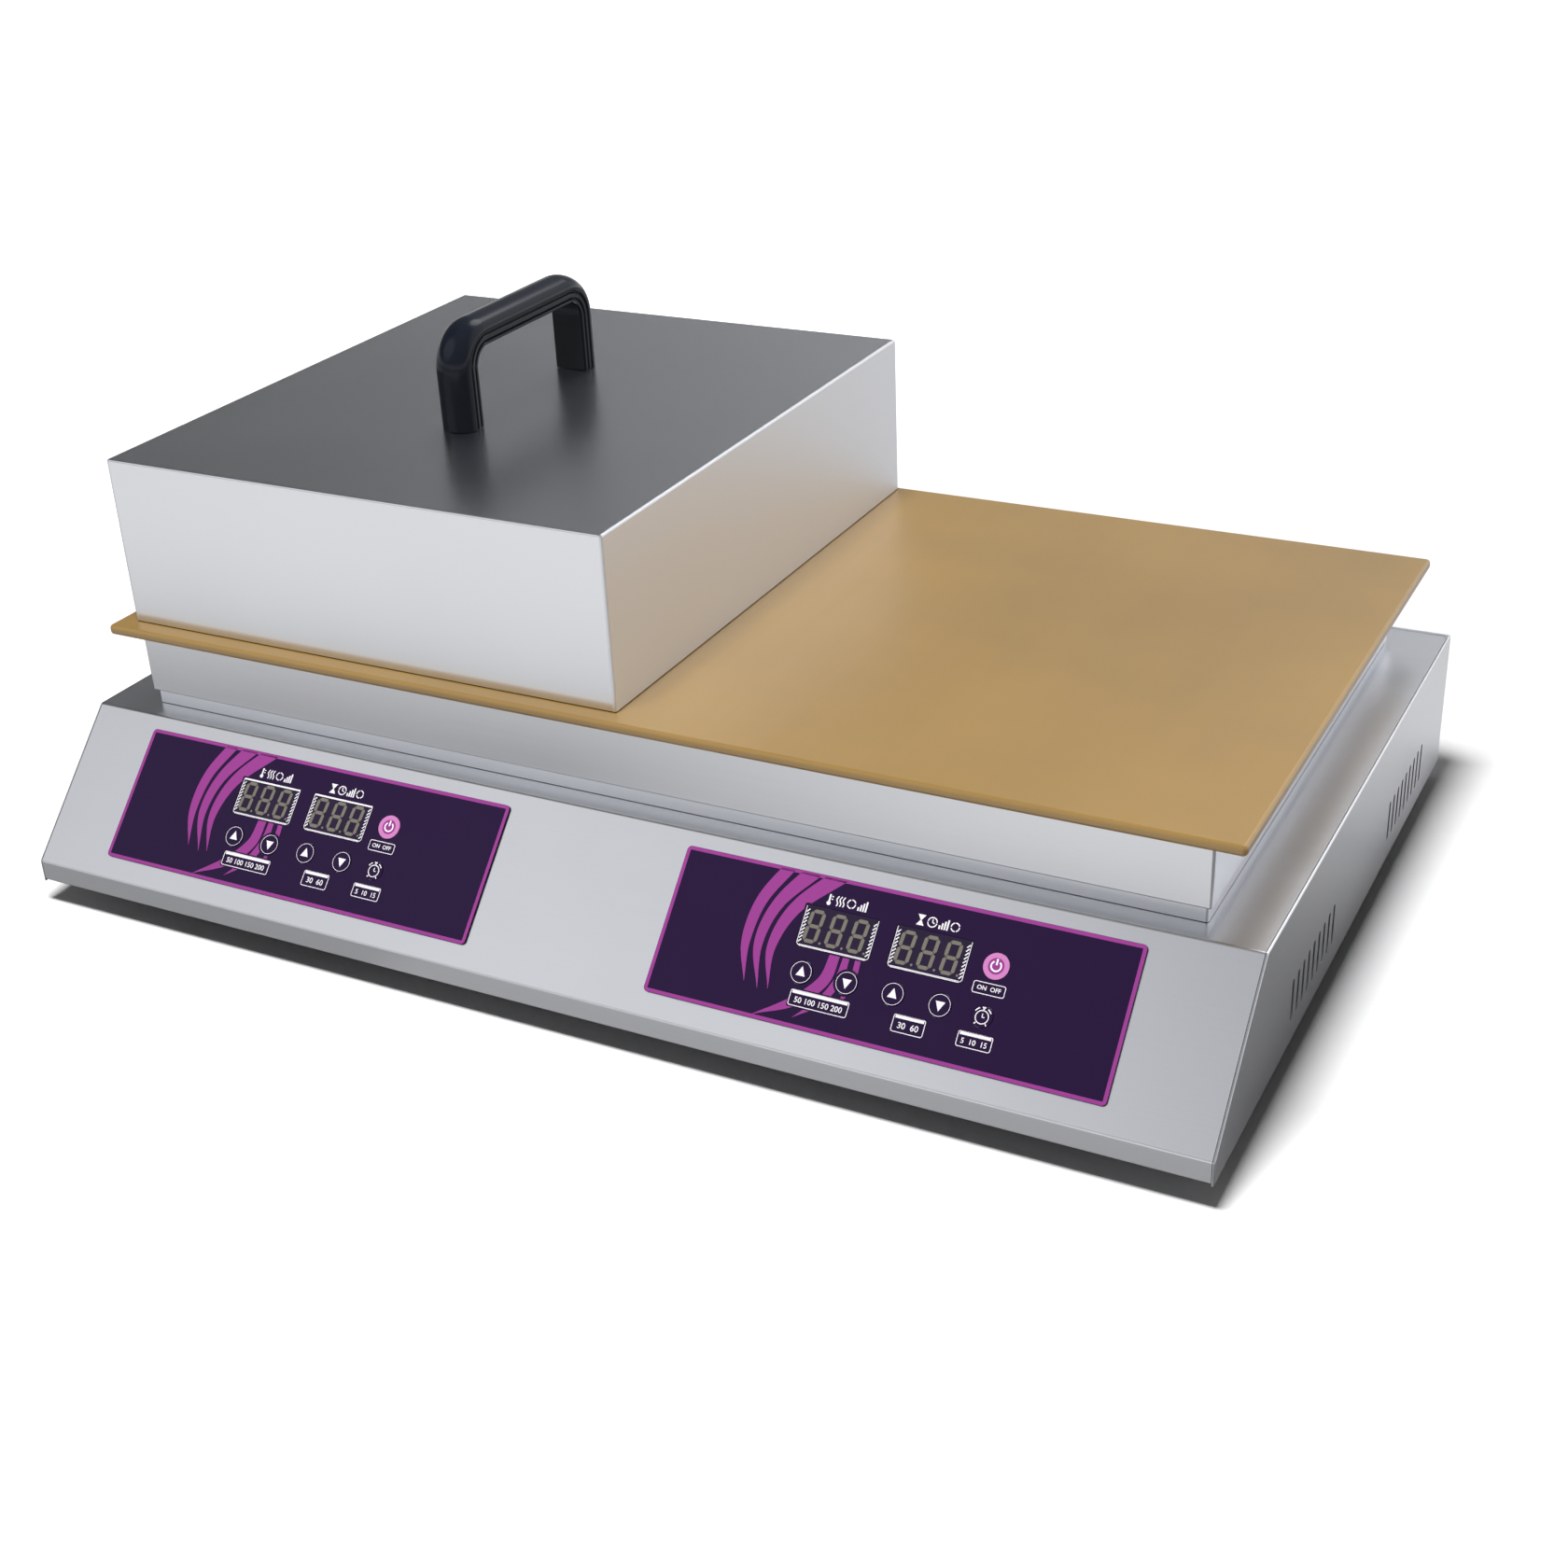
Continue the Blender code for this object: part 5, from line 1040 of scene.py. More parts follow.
# Foot in millimetres
FOOT_TAPER, FOOT_SOFT, FOOT_BEVEL = 3.0, 0.3, 1.0
FOOT_STEM, FOOT_BARB, FOOT_BARB_UP = 4.0, 5.2, 1.8
FOOT_POCKET, FOOT_POCKET_BEVEL, FOOT_POCKET_UP = 5.6, 0.4, 4.0
# Screw recess and dome, as shares of the head's radius and height
DOME_SHARE = 0.55
RECESS_LENGTH_SHARE, RECESS_WIDTH_SHARE = 0.55, 0.11
# How much further each next screw of a kind is turned
SCREW_TURNS = {"rear": 0.4, "floor": 0.5, "handle": 0.7}
# Grip ribs round the gland in millimetres: count, distance out, size and height
RIB_COUNT, RIB_OUT, RIB_SIZE, RIB_UP = 20, 10.7, (1.0, 1.2, 4.6), 9.1
# Section of the gland in millimetres: radius and height over the rear sheet
GLAND_PROFILE = (
    (4.5, 16.0), (7.6, 16.0), (8.5, 15.2), (10.6, 11.5), (10.8, 6.6), (10.2, 6.3),
    (10.2, 5.6), (12.0, 5.3), (12.0, 0.6), (11.6, 0.3), (8.0, 0.3), (8.0, -11.2),
    (4.5, -11.2))


def make_foot():
    """Turn one push-in rubber foot about its own middle, with its top at zero."""
    low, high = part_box("foot_front_left")
    radius, height = (high.x - low.x) / 2 / MM, (HOUSING_Z + SHEET - low.z) / MM
    stem, sole, foot = (high.z - low.z) / MM - height, -height, radius - FOOT_TAPER
    lip = FOOT_POCKET + FOOT_POCKET_BEVEL
    return turned(in_mm([
        (0.0, stem), (FOOT_STEM, stem), (FOOT_BARB, FOOT_BARB_UP), (FOOT_STEM, FOOT_BARB_UP),
        (FOOT_STEM, 0.0), (radius - FOOT_BEVEL, 0.0), (radius - FOOT_SOFT, -FOOT_SOFT),
        (radius, -FOOT_BEVEL), (foot + FOOT_SOFT, sole + FOOT_BEVEL),
        (foot, sole + FOOT_SOFT), (foot - FOOT_BEVEL, sole), (lip + FOOT_POCKET_BEVEL, sole),
        (lip, sole + FOOT_POCKET_BEVEL), (FOOT_POCKET, sole + FOOT_POCKET_UP),
        (0.0, sole + FOOT_POCKET_UP)]))


def make_screw(kind):
    """Turn a pan-head screw, seat at zero and head upwards, with a cross recess."""
    radius, head, rise, length = [size * MM for size in SCREWS[kind]]
    dome = [(head * s, rise * (1 - DOME_SHARE + DOME_SHARE * c)) for s, c in quarter(6)]
    screw = turned([*dome, (head, 0.0), (radius, 0.0), (radius, -length), (0.0, -length)], 32)
    arm, wide = head * RECESS_LENGTH_SHARE, head * RECESS_WIDTH_SHARE
    deep = rise * (1 - DOME_SHARE)
    for x, y in ((arm, wide), (wide, arm)):
        screw = with_tool(screw, blocks(((-x, -y, deep), (x, y, rise * 2))))
    return screw


def add_screws(kind, places, tip, nodes=(), body=BASE):
    """Put in one kind of screw, tipped over X and each with its own turn."""
    turns = [(tip, 0.0, SCREW_TURNS[kind] * index) for index in range(len(places))]
    screws = copies_of(make_screw(kind), places, turns)
    add_piece(kind + "_screws", screws, "screw_steel", nodes, body)


def make_gland():
    """Turn the cable gland about its own axis and stand grip ribs round its cap."""
    gland = turned(in_mm(GLAND_PROFILE), closed=True)
    return run_tree(gland, "Ring of ribs", {
        "Count": RIB_COUNT, "Radius": RIB_OUT * MM, "Rib size": Vector(RIB_SIZE) * MM,
        "Height": RIB_UP * MM}, stand_ribs)


class PANCAKE_OT_hardware(bpy.types.Operator):
    """Put on the rubber feet, the screws and the cable gland"""

    bl_idname = "pancake.hardware"
    bl_label = "Feet, screws and gland"

    def execute(self, context):
        places = [(*node_middle(node).xy, HOUSING_Z + SHEET) for node in FEET]
        add_piece("rubber_feet", copies_of(make_foot(), places), "foot_rubber",
                  FEET)
        nodes = nodes_of("rear_screw_low", "rear_screw_high")
        middles = [node_middle(node) for node in nodes]
        add_screws("rear", [(middle.x, BACK_Y + FIT, middle.z) for middle in middles],
                   -math.pi / 2, nodes)
        reach = HALF_WIDTH - SHEET - RETURN_WIDTH / 2
        rows = [FRONT_Y + FLOOR_SCREW_FRONT, (FRONT_Y + BACK_Y) / 2,
                BACK_Y - FLOOR_SCREW_BACK]
        add_screws("floor", [(sign * reach, y, HOUSING_Z + FLANGE_LIFT)
                             for sign in SIDES.values() for y in rows], math.pi)
        middle = node_middle("cable_gland")
        placing = (Matrix.Translation((middle.x, BACK_Y, middle.z))
                   @ Matrix.Rotation(-math.pi / 2, 4, "X"))
        add_piece("cable_entry", moved(make_gland(), placing), "gland_nylon",
                  ["cable_gland"])
        return {"FINISHED"}


# Heater box and griddle plate

# Radius of the plate's corners, as a share of its edge radius
PLATE_CORNER_SHARE = 1.2


def skirt_profile(low, high):
    """Give the section of a folded skirt with a flange inwards at both ends."""
    outer = round_over(SHEET, high, steps=CORNER_STEPS // 2)
    lower = [(inset, low + high - height) for inset, height in outer[::-1]]
    return [(TOP_FLANGE, high), *outer, *lower, (BOTTOM_FLANGE, low),
            (BOTTOM_FLANGE, low + SHEET), (SHEET, low + SHEET), (SHEET, high - SHEET),
            (TOP_FLANGE, high - SHEET)]


def stud_places(low, high, base):
    """Give the places of the studs welded below the plate."""
    zone = (high.x - low.x) / 4
    inset = (SHEET + TOP_FLANGE) / 2
    places = [(x, y, base) for x in (-zone, 0.0, zone)
              for y in (BOX_LOW.y + inset, BOX_HIGH.y - inset)]
    clamp_low, clamp_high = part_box("heater_clamp_left")
    rows = (clamp_low.y + CLAMP_STUD_INSET, clamp_high.y - CLAMP_STUD_INSET)
    return places + [(side * zone + sign * CLAMP_STUD_REACH, y, base)
                     for side in SIDES.values() for sign in SIDES.values() for y in rows]


class PANCAKE_OT_hot_deck(bpy.types.Operator):
    """Fold the riser and the heater skirt, and coat the griddle plate"""

    bl_idname = "pancake.hot_deck"
    bl_label = "Heater skirt and griddle plate"

    def execute(self, context):
        low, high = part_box("riser_frame")
        riser = [(0.0, low.z), (0.0, high.z), (RISER_WALL, high.z), (RISER_WALL, low.z)]
        add_sheet("riser", box_sweep(riser, low, high, SKIRT_CORNER, True), "riser_frame")
        skirt = skirt_profile(BOX_LOW.z, BOX_HIGH.z)
        add_sheet("heater_skirt", box_sweep(skirt, BOX_LOW, BOX_HIGH, SKIRT_CORNER, True),
                  "heater_box")
        low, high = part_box("griddle_plate")
        base, edge = BOX_HIGH.z + FIT, context.scene.pancake_plate.edge
        over = round_over(edge, high.z)
        under = [(inset, base + high.z - height) for inset, height in over[::-1]]
        plate = box_sweep(over + under, low, high, edge * PLATE_CORNER_SHARE, False)
        add_piece("coated_plate", plate, "gold_coat", ["griddle_plate"])
        drop = base - low.z
        stud = turned([(0.0, FIT), (STUD_RADIUS, FIT), (STUD_RADIUS, STUD_BEVEL - drop),
                       (STUD_RADIUS - STUD_BEVEL, -drop), (0.0, -drop)], 20)
        add_piece("plate_studs", copies_of(stud, stud_places(low, high, base)),
                  "screw_steel")
        return {"FINISHED"}


# Lid and handle

# How far the lid's lower edge is cut back, as a share of its sheet
LOWER_EDGE_SHARE = 0.3


def shell_profile(low, high, sheet, bend):
    """Give the lid's section from the edge of its top, down its side and up inside."""
    soft = sheet * LOWER_EDGE_SHARE
    return [*round_over(bend, high), (0.0, low + soft), (soft, low), (sheet - soft, low),
            (sheet, low + soft), *round_over(bend - sheet, high - sheet, sheet)[::-1]]


def grip_section(half_width, half_thick):
    """Outline the handle's grip: a round back and two flutes along each flank."""
    # In shares of the half thickness and width, as are the flutes' middle, reach and depth
    shoulder, foot, draft, sharpness = 0.02, -0.90, 0.05, 0.6
    flutes = ((-0.14, 0.13, 0.11), (-0.62, 0.12, 0.11))
    turns = [math.pi * step / 24 for step in range(25)]
    back = [(math.cos(turn), shoulder + (1 - shoulder) * math.sin(turn)) for turn in turns]
    flank = []
    for step in range(1, 41):
        down = shoulder - (shoulder - foot) * step / 40
        across = 1.0 + draft * (down - shoulder)
        for middle, reach, depth in flutes:
            off = abs(down - middle) / reach
            if off < 1.0:
                across -= depth * (0.5 + 0.5 * math.cos(math.pi * off)) ** sharpness
        flank.append((across, down))
    flank += [(0.92, -0.95), (0.88, -0.985), (0.82, -1.0)]
    outline = back + [(-x, y) for x, y in flank] + flank[::-1]
    return [(x * half_width, y * half_thick) for x, y in outline]


class PANCAKE_OT_lid(bpy.types.Operator):
    """Fold the lift-off lid and mount its bow handle"""

    bl_idname = "pancake.lid"
    bl_label = "Lid and handle"

    def execute(self, context):
        settings = context.scene.pancake_lid
        profile = shell_profile(SHELL_LOW.z, SHELL_HIGH.z, settings.sheet, settings.bend)
        shell = box_sweep(profile, SHELL_LOW, SHELL_HIGH, settings.bend, False)
        add_piece("lid_box", shell, "lid_steel", ["lid_shell"], LID)
        middle, half = (GRIP_LOW + GRIP_HIGH) / 2, (GRIP_HIGH - GRIP_LOW) / 2
        front, back = GRIP_LOW.y + GRIP_HALF_THICK, GRIP_HIGH.y - GRIP_HALF_THICK
        top = GRIP_HIGH.z - GRIP_HALF_THICK
        path = corner_arcs([(front, GRIP_LOW.z), (front, top), (back, top),
                            (back, GRIP_LOW.z)], settings.grip_bend, 16)
        grip = moved(swept(grip_section(half.x, GRIP_HALF_THICK), path),
                     Matrix.Translation((middle.x, 0.0, 0.0)))
        grip = with_round_edges(grip, lambda co: co.z < GRIP_LOW.z + TOUCH,
                                GRIP_FOOT_ROUND, 2)
        add_piece("bow_handle", grip, "grip_plastic", ["lid_handle"], LID)
        seat = SHELL_HIGH.z - settings.sheet - FIT
        add_screws("handle", [(middle.x, y, seat) for y in (front, back)], math.pi,
                   ["handle_screw_front", "handle_screw_rear"], LID)
        return {"FINISHED"}


# Key panels. What is printed on them is drawn in millimetres


def on_panel(mesh, panel_x, out):
    """Place a flat mesh drawn about a panel's middle on its slope."""
    return moved(mesh, SLOPE @ Matrix.Translation((panel_x, PANEL_UP, out)))


def key_middle(name):
    """Give a key's middle on its panel."""
    return Vector((node_middle(name + "_key_left").x - PANEL_X["left"], KEYS[name][0]))


def placed(outlines, middle=(0.0, 0.0), scale=1.0):
    """Scale outlines and move them to a middle."""
    middle = Vector(middle)
    return [[Vector(point) * scale + middle for point in outline] for outline in outlines]


def inked(outlines, pairs=()):
    """Make the ink of some outlines and bands that are drawn in millimetres."""
    return merged(bands([placed(pair, scale=MM) for pair in pairs]),
                  prisms(placed(outlines, scale=MM)))


def make_film():
    """Cut the panel film with its display windows and key openings."""
    holes = panel_openings(FIT / 2, WINDOW_CORNER, 3, lambda radius: radius + FIT / 2)
    return filled_sheet(rounded_rectangle(PANEL_SIZE / 2, PANEL_CORNER), holes,
                        PANEL_THICKNESS, FILM_EDGE)


# Curved stripes: points and the width at each
STRIPES = (
    (((-63.0, 41.5), (-73.9, 20.0), (-76.0, -2.0), (-70.6, -22.0)), (6.7, 6.2, 4.8, 0.1)),
    (((-49.6, 41.5), (-64.7, 20.0), (-69.0, -2.0), (-62.6, -24.0)), (8.9, 6.4, 4.8, 0.1)),
    (((-35.0, 41.5), (-54.8, 20.0), (-61.6, -2.0), (-57.0, -23.0)), (8.9, 7.0, 4.8, 0.1)),
    (((-27.4, 1.2), (-29.6, -13.0), (-41.5, -26.0), (-61.0, -37.0)), (5.4, 6.2, 5.2, 0.1)),
    (((-21.2, 1.2), (-22.2, -11.0), (-28.5, -23.5), (-40.0, -34.0)), (3.4, 4.2, 3.6, 0.1)),
    (((-15.0, 1.2), (-14.8, -8.0), (-16.6, -17.0), (-20.5, -26.0)), (3.0, 3.0, 2.4, 0.1)),
)
# Frames below the keys: middle and half size
LABELS = {
    "heat": ((-28.7, -24.2), (15.9, 4.1)),
    "time": ((19.3, -24.4), (8.4, 4.4)),
    "power": ((53.4, 1.7), (8.3, 3.0)),
    "timer": ((53.4, -24.2), (8.9, 3.9)),
}
# Plain numbers and switch words in the frames: text, height and lift
WORDS = {
    "heat": ("50 100 150 200", 3.3, -0.9),
    "time": ("30  60", 3.5, -0.9),
    "power": ("ON  OFF", 2.5, 0.0),
    "timer": ("5  10  15", 3.0, -0.9),
}
RING = [stroke(0.36, *arc(1.25, 20 + 90 * turn, 95 + 90 * turn, 8)) for turn in range(4)]
BARS = [[(x, -1.5), (x + 0.5, -1.5), (x + 0.5, top), (x, top)]
        for x, top in ((-1.4, -0.4), (-0.6, 0.4), (0.2, 1.0), (1.0, 1.6))]
THERMOMETER = [circle((0.0, -1.1), 0.65, 16), stroke(0.55, (0.0, -0.7), (0.0, 1.6)),
               stroke(0.3, (0.55, 0.2), (1.1, 0.2)), stroke(0.3, (0.55, 1.0), (1.1, 1.0))]
WAVES = [stroke(0.36, *[(x + 0.28 * math.sin(step * 0.9), -1.5 + step * 0.375)
                        for step in range(9)]) for x in (-1.0, 0.0, 1.0)]
HOURGLASS = [[(-1.2, 1.6), (1.2, 1.6), (0.15, 0.0), (-0.15, 0.0)],
             [(-0.15, -0.05), (0.15, -0.05), (1.2, -1.6), (-1.2, -1.6)]]
CLOCK = [stroke(0.34, *arc(1.4, 5, 175)), stroke(0.34, *arc(1.4, 185, 355)),
         stroke(0.34, (0.0, 0.0), (0.0, 0.95)), stroke(0.34, (0.0, 0.0), (0.7, -0.3))]
# Rows of pictograms above the displays
CAPTIONS = {"heat": (THERMOMETER, WAVES, RING, BARS), "time": (HOURGLASS, CLOCK, BARS, RING)}
CAPTION_PITCH, CAPTION_UP, CAPTION_SCALE = 6.0, 15.4, 1.7
FRAME_CORNER, FRAME_LINE = 1.2, 0.4
HEAVY_LINE, HEAVY_INSET = 1.9, 0.9
WORD_SCALE, WORD_WEIGHT = 1.25, 0.05 * MM
# Clear ground round windows, keys, frames and the panel's edge
WINDOW_ROOM, KEY_ROOM, ROOM_CORNER = 0.7, 0.9, 1.0
FRAME_ROOM = Vector((0.5, 0.7))
EDGE_ROOM, EDGE_REACH = 1.0, 8.0
# Displays: the digits' pitch and shift, and the dashes at both ends
DIGIT_PITCH, DIGIT_LEFT, DIGIT_UP = 12.0, 0.9, 0.4
DASH_OUT, DASH_LOW, DASH_PITCH, DASH_COUNT = 18.3, -7.8, 1.95, 9
DASH = stroke(0.6, (-0.75, -0.8), (0.75, 0.8))
POWER_DISC = 4.1 * MM
# Signs on the keys: outlines, then bands
ARROW_RING = [(circle((0, 0), 5.5), circle((0, 0), 5.25))]
UP_SIGN = [[(-2.5, -1.9), (2.5, -1.9), (0.0, 3.1)]], ARROW_RING
DOWN_SIGN = [[(-2.5, 1.9), (2.5, 1.9), (0.0, -3.1)]], ARROW_RING
SIGNS = {
    "heat_up": UP_SIGN,
    "heat_down": DOWN_SIGN,
    "time_up": UP_SIGN,
    "time_down": DOWN_SIGN,
    "power": ([stroke(0.85, *arc(2.5, 125, 415, 28)), stroke(0.9, (0.0, 0.5), (0.0, 3.6))],),
    "timer": ([stroke(0.9, (0.0, 3.4), (0.0, 4.4)), stroke(0.6, (-0.9, 4.5), (0.9, 4.5)),
               stroke(0.5, (0.0, -0.3), (0.0, 1.5)), stroke(0.5, (0.0, -0.3), (1.3, -0.3)),
               stroke(0.6, (-2.4, -3.2), (-3.1, -4.1)), stroke(0.6, (2.4, -3.2), (3.1, -4.1)),
               stroke(0.6, *arc(4.5, 28, 62, 6)), stroke(0.6, *arc(4.5, 118, 152, 6))],
              [(circle((0, -0.3), 3.5), circle((0, -0.3), 3.0))]),
}


def stripe_plates():
    """Outline the panel's stripes, kept clear of windows, keys and frames."""
    mesh = prisms(placed([ribbon(*stripe) for stripe in STRIPES], scale=MM))
    clear = panel_openings(WINDOW_ROOM * MM, ROOM_CORNER * MM, 3,
                           lambda radius: radius + KEY_ROOM * MM)
    clear += placed([rounded_rectangle(Vector(half) + FRAME_ROOM, ROOM_CORNER, middle, 3)
                     for middle, half in LABELS.values()], scale=MM)
    x, y = PANEL_SIZE / 2 - Vector((EDGE_ROOM, EDGE_ROOM)) * MM
    far = y + EDGE_REACH * MM
    clear += [[(-x, sign * y), (x, sign * y), (x, sign * far), (-x, sign * far)]
              for sign in (-1, 1)]
    for outline in clear:
        mesh = with_tool(mesh, prisms([outline], -OVERRUN, OVERRUN))
    return mesh


def border_plate():
    """Outline the printed border of a panel."""
    pair = []
    for inset in (BORDER_INSET, BORDER_INSET + bpy.context.scene.pancake_panel.border):
        half = [side / 2 - inset for side in PANEL_SIZE]
        pair.append(rounded_rectangle(half, max(PANEL_CORNER - inset, LEAST_CORNER)))
    return bands([pair])


def caption_outlines(kind):
    """Draw a row of small pictograms above a display."""
    row, middle = [], (len(CAPTIONS[kind]) - 1) / 2
    for index, icon in enumerate(CAPTIONS[kind]):
        shift = Vector(((index - middle) * CAPTION_PITCH, CAPTION_UP))
        row += placed(icon, WINDOWS[kind] / MM + shift, CAPTION_SCALE)
    return row


def label_tops():
    """Draw the heavy tops of the frames below the keys."""
    outlines = []
    for name in ("heat", "time", "timer"):
        (x, y), (half_x, half_y) = LABELS[name]
        reach, top = half_x - HEAVY_INSET, y + half_y - HEAVY_LINE / 2
        outlines.append(stroke(HEAVY_LINE, (x - reach, top), (x + reach, top)))
    return outlines


def word_mesh(name):
    """Make the plain numbers or switch words of a frame as a thin plate."""
    (text, height, lift), (x, y) = WORDS[name], LABELS[name][0]
    curve = bpy.data.curves.new("word", "FONT")
    curve.body, curve.size = text, height * MM * WORD_SCALE
    curve.align_x = curve.align_y = "CENTER"
    curve.resolution_u, curve.extrude, curve.offset = 3, INK / 2, WORD_WEIGHT
    return moved(from_curve(curve), Matrix.Translation((x * MM, (y + lift) * MM, INK / 2)))


def white_print():
    """Gather all the white print of a panel's film."""
    frames = [(rounded_rectangle(half, FRAME_CORNER, middle, 6),
               rounded_rectangle([side - FRAME_LINE for side in half],
                                 FRAME_CORNER - FRAME_LINE, middle, 6))
              for middle, half in LABELS.values()]
    outlines = caption_outlines("heat") + caption_outlines("time") + label_tops()
    return merged(inked(outlines, frames), *[word_mesh(name) for name in WORDS])


def segment_outlines():
    """Outline the seven segments and point of one digit, about its middle."""
    half_x, half_y, thick, gap, lean = 3.1, 7.7, 1.9, 0.2, 0.07
    point_right, point_radius = 2.8, 0.65
    outlines = []
    for x0, y0, x1, y1 in ((-1, 1, 1, 1), (-1, 0, 1, 0), (-1, -1, 1, -1), (-1, 0, -1, 1),
                           (1, 0, 1, 1), (-1, -1, -1, 0), (1, -1, 1, 0)):
        start, end = Vector((x0 * half_x, y0 * half_y)), Vector((x1 * half_x, y1 * half_y))
        along = (end - start).normalized()
        side, slope = Vector((-along.y, along.x)) * thick / 2, along * thick / 2
        start, end = start + along * gap, end - along * gap
        outlines.append([start, start + slope - side, end - slope - side, end,
                         end - slope + side, start + slope + side])
    outlines.append(circle((half_x + point_right, -half_y), point_radius, 16))
    return [[(x + y * lean, y) for x, y in outline] for outline in outlines]


def window_frame(closed_top):
    """Draw the line round a display, about its middle."""
    x, y, corner, thin, thick, inset = 19.5, 10.1, 1.6, 0.35, 0.95, 1.4
    outlines = [stroke(thin, *corner_arcs([(-x, y), (-x, -y), (x, -y), (x, y)], corner, 6)),
                stroke(thick, (inset - x, -y), (x - inset, -y))]
    if closed_top:
        outlines.append(stroke(thick, (-x, y), (x, y)))
    return outlines


def make_cap(radius):
    """Turn one key cap with its stem, with its base at zero."""
    top, bulge = KEY_HEIGHT, KEY_SOFT * KEY_SOFT_SHARE
    return turned([(0.0, top), (radius - KEY_SOFT, top), (radius - bulge, top - bulge),
                   (radius, top - KEY_SOFT), (radius, 0.0), (STEM_RADIUS, 0.0),
                   (STEM_RADIUS, -STEM_LENGTH), (0.0, -STEM_LENGTH)])


class PANCAKE_OT_panels(bpy.types.Operator):
    """Lay the printed films on the slope"""

    bl_idname = "pancake.panels"
    bl_label = "Key panel films"

    def execute(self, context):
        for side, panel_x in PANEL_X.items():
            film = on_panel(make_film(), panel_x, PANEL_LIFT + PANEL_THICKNESS / 2)
            add_piece("panel_film_" + side, film, "panel_film",
                      ["control_overlay_" + side])
            for name, ink, look in (
                    ("stripes", merged(border_plate(), stripe_plates()), "stripe_ink"),
                    ("print", white_print(), "white_ink")):
                add_piece(f"panel_{name}_{side}", on_panel(ink, panel_x, PANEL_TOP - INK_SINK),
                          look)
        return {"FINISHED"}


class PANCAKE_OT_displays(bpy.types.Operator):
    """Fill the display windows with unlit digits and their frames"""

    bl_idname = "pancake.displays"
    bl_label = "Displays"

    def execute(self, context):
        digit, dash = inked(segment_outlines()), inked([DASH])
        out = PANEL_TOP - WINDOW_SINK - INK_SINK
        digit_row = in_mm([((index - 1) * DIGIT_PITCH - DIGIT_LEFT, DIGIT_UP)
                           for index in range(3)])
        dash_rows = in_mm([(x, DASH_LOW + DASH_PITCH * step) for step in range(DASH_COUNT)
                           for x in (-DASH_OUT, DASH_OUT)])
        for side, panel_x in PANEL_X.items():
            digits, dashes, lines = [], [], []
            for place in WINDOWS.values():
                digits += [(place + Vector(shift)).to_3d() for shift in digit_row]
                dashes += [(place + Vector(shift)).to_3d() for shift in dash_rows]
                lines += placed(window_frame(side == "left"), place / MM)
            frames = merged(inked(lines), copies_of(dash, dashes))
            for name, mesh, look in (("digits_", copies_of(digit, digits), "unlit_segment"),
                                     ("display_frames_", frames, "white_ink")):
                add_piece(name + side, on_panel(mesh, panel_x, out), look)
        return {"FINISHED"}


class PANCAKE_OT_keys(bpy.types.Operator):
    """Set the film keys and print their signs"""

    bl_idname = "pancake.keys"
    bl_label = "Keys"

    def execute(self, context):
        for side, panel_x in PANEL_X.items():
            for name, (_, radius) in KEYS.items():
                node, body = f"{name}_key_{side}", f"{name}_{side}"
                middle = Vector((panel_x, PANEL_UP)) + key_middle(name)
                place = SLOPE @ Matrix.Translation((*middle, KEY_BASE))
                lifted = place @ Matrix.Translation((0.0, 0.0, KEY_HEIGHT - INK_SINK))
                add_piece("cap_" + node, moved(make_cap(radius), place),
                          "pink_ink" if name == "power" else "key_film",
                          [node], body)
                add_piece("sign_" + node, moved(inked(*SIGNS[name]), lifted), "white_ink",
                          body=body)
                if name == "power":
                    disc = prisms([circle((0, 0), POWER_DISC)], 0.0, INK / 2)
                    add_piece("disc_" + node, moved(disc, lifted), "stripe_ink",
                              body=body)
        return {"FINISHED"}


# Parts inside the housing, which keep their packed solids

INNER_FINISHES = {
    "display_window": nodes_of("heat_display", "time_display"),
    "screw_steel": ["heat_shield", *nodes_of("heater_clamp", "temperature_probe",
                                             "limit_cutout")],
    "heater_sheath": nodes_of("heating_element"),
    "ceramic_fibre": ["insulation_board"],
    "bare_aluminium": ["relay_heat_sink", *nodes_of("probe_block")],
    "circuit_board": ["supply_board", *nodes_of("control_board")],
    "relay_plastic": nodes_of("relay"),
    "terminal_plastic": ["terminal_block"],
    "gland_nylon": ["gland_nut"],
    "brass": ["earth_stud"],
}


class PANCAKE_OT_inner_parts(bpy.types.Operator):
    """Give the displays and the parts inside the housing their finishes"""

    bl_idname = "pancake.inner_parts"
    bl_label = "Inner parts"

    def execute(self, context):
        for look, nodes in INNER_FINISHES.items():
            for node in nodes:
                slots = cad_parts[node].material_slots
                if not slots:
                    raise RuntimeError(f"{node} has no material slot")
                for slot in slots:
                    slot.material = finish(look)
        return {"FINISHED"}


# Studio


def make_camera(context):
    """Set the camera as the photograph was taken."""
    lens = bpy.data.cameras.new("camera")
    lens.sensor_width, lens.lens = SENSOR, FOCAL_PIXELS / PHOTO_PIXELS * SENSOR
    lens.clip_start, lens.clip_end = CLIP_NEAR, CLIP_FAR
    camera = linked("camera", lens)
    camera.matrix_world = (Matrix.Translation(CAMERA_PLACE)
                           @ Matrix.Rotation(CAMERA_YAW, 4, "Z")
                           @ Matrix.Rotation(math.pi / 2 - CAMERA_PITCH, 4, "X")
                           @ Matrix.Rotation(CAMERA_ROLL, 4, "Z"))
    context.scene.camera = camera


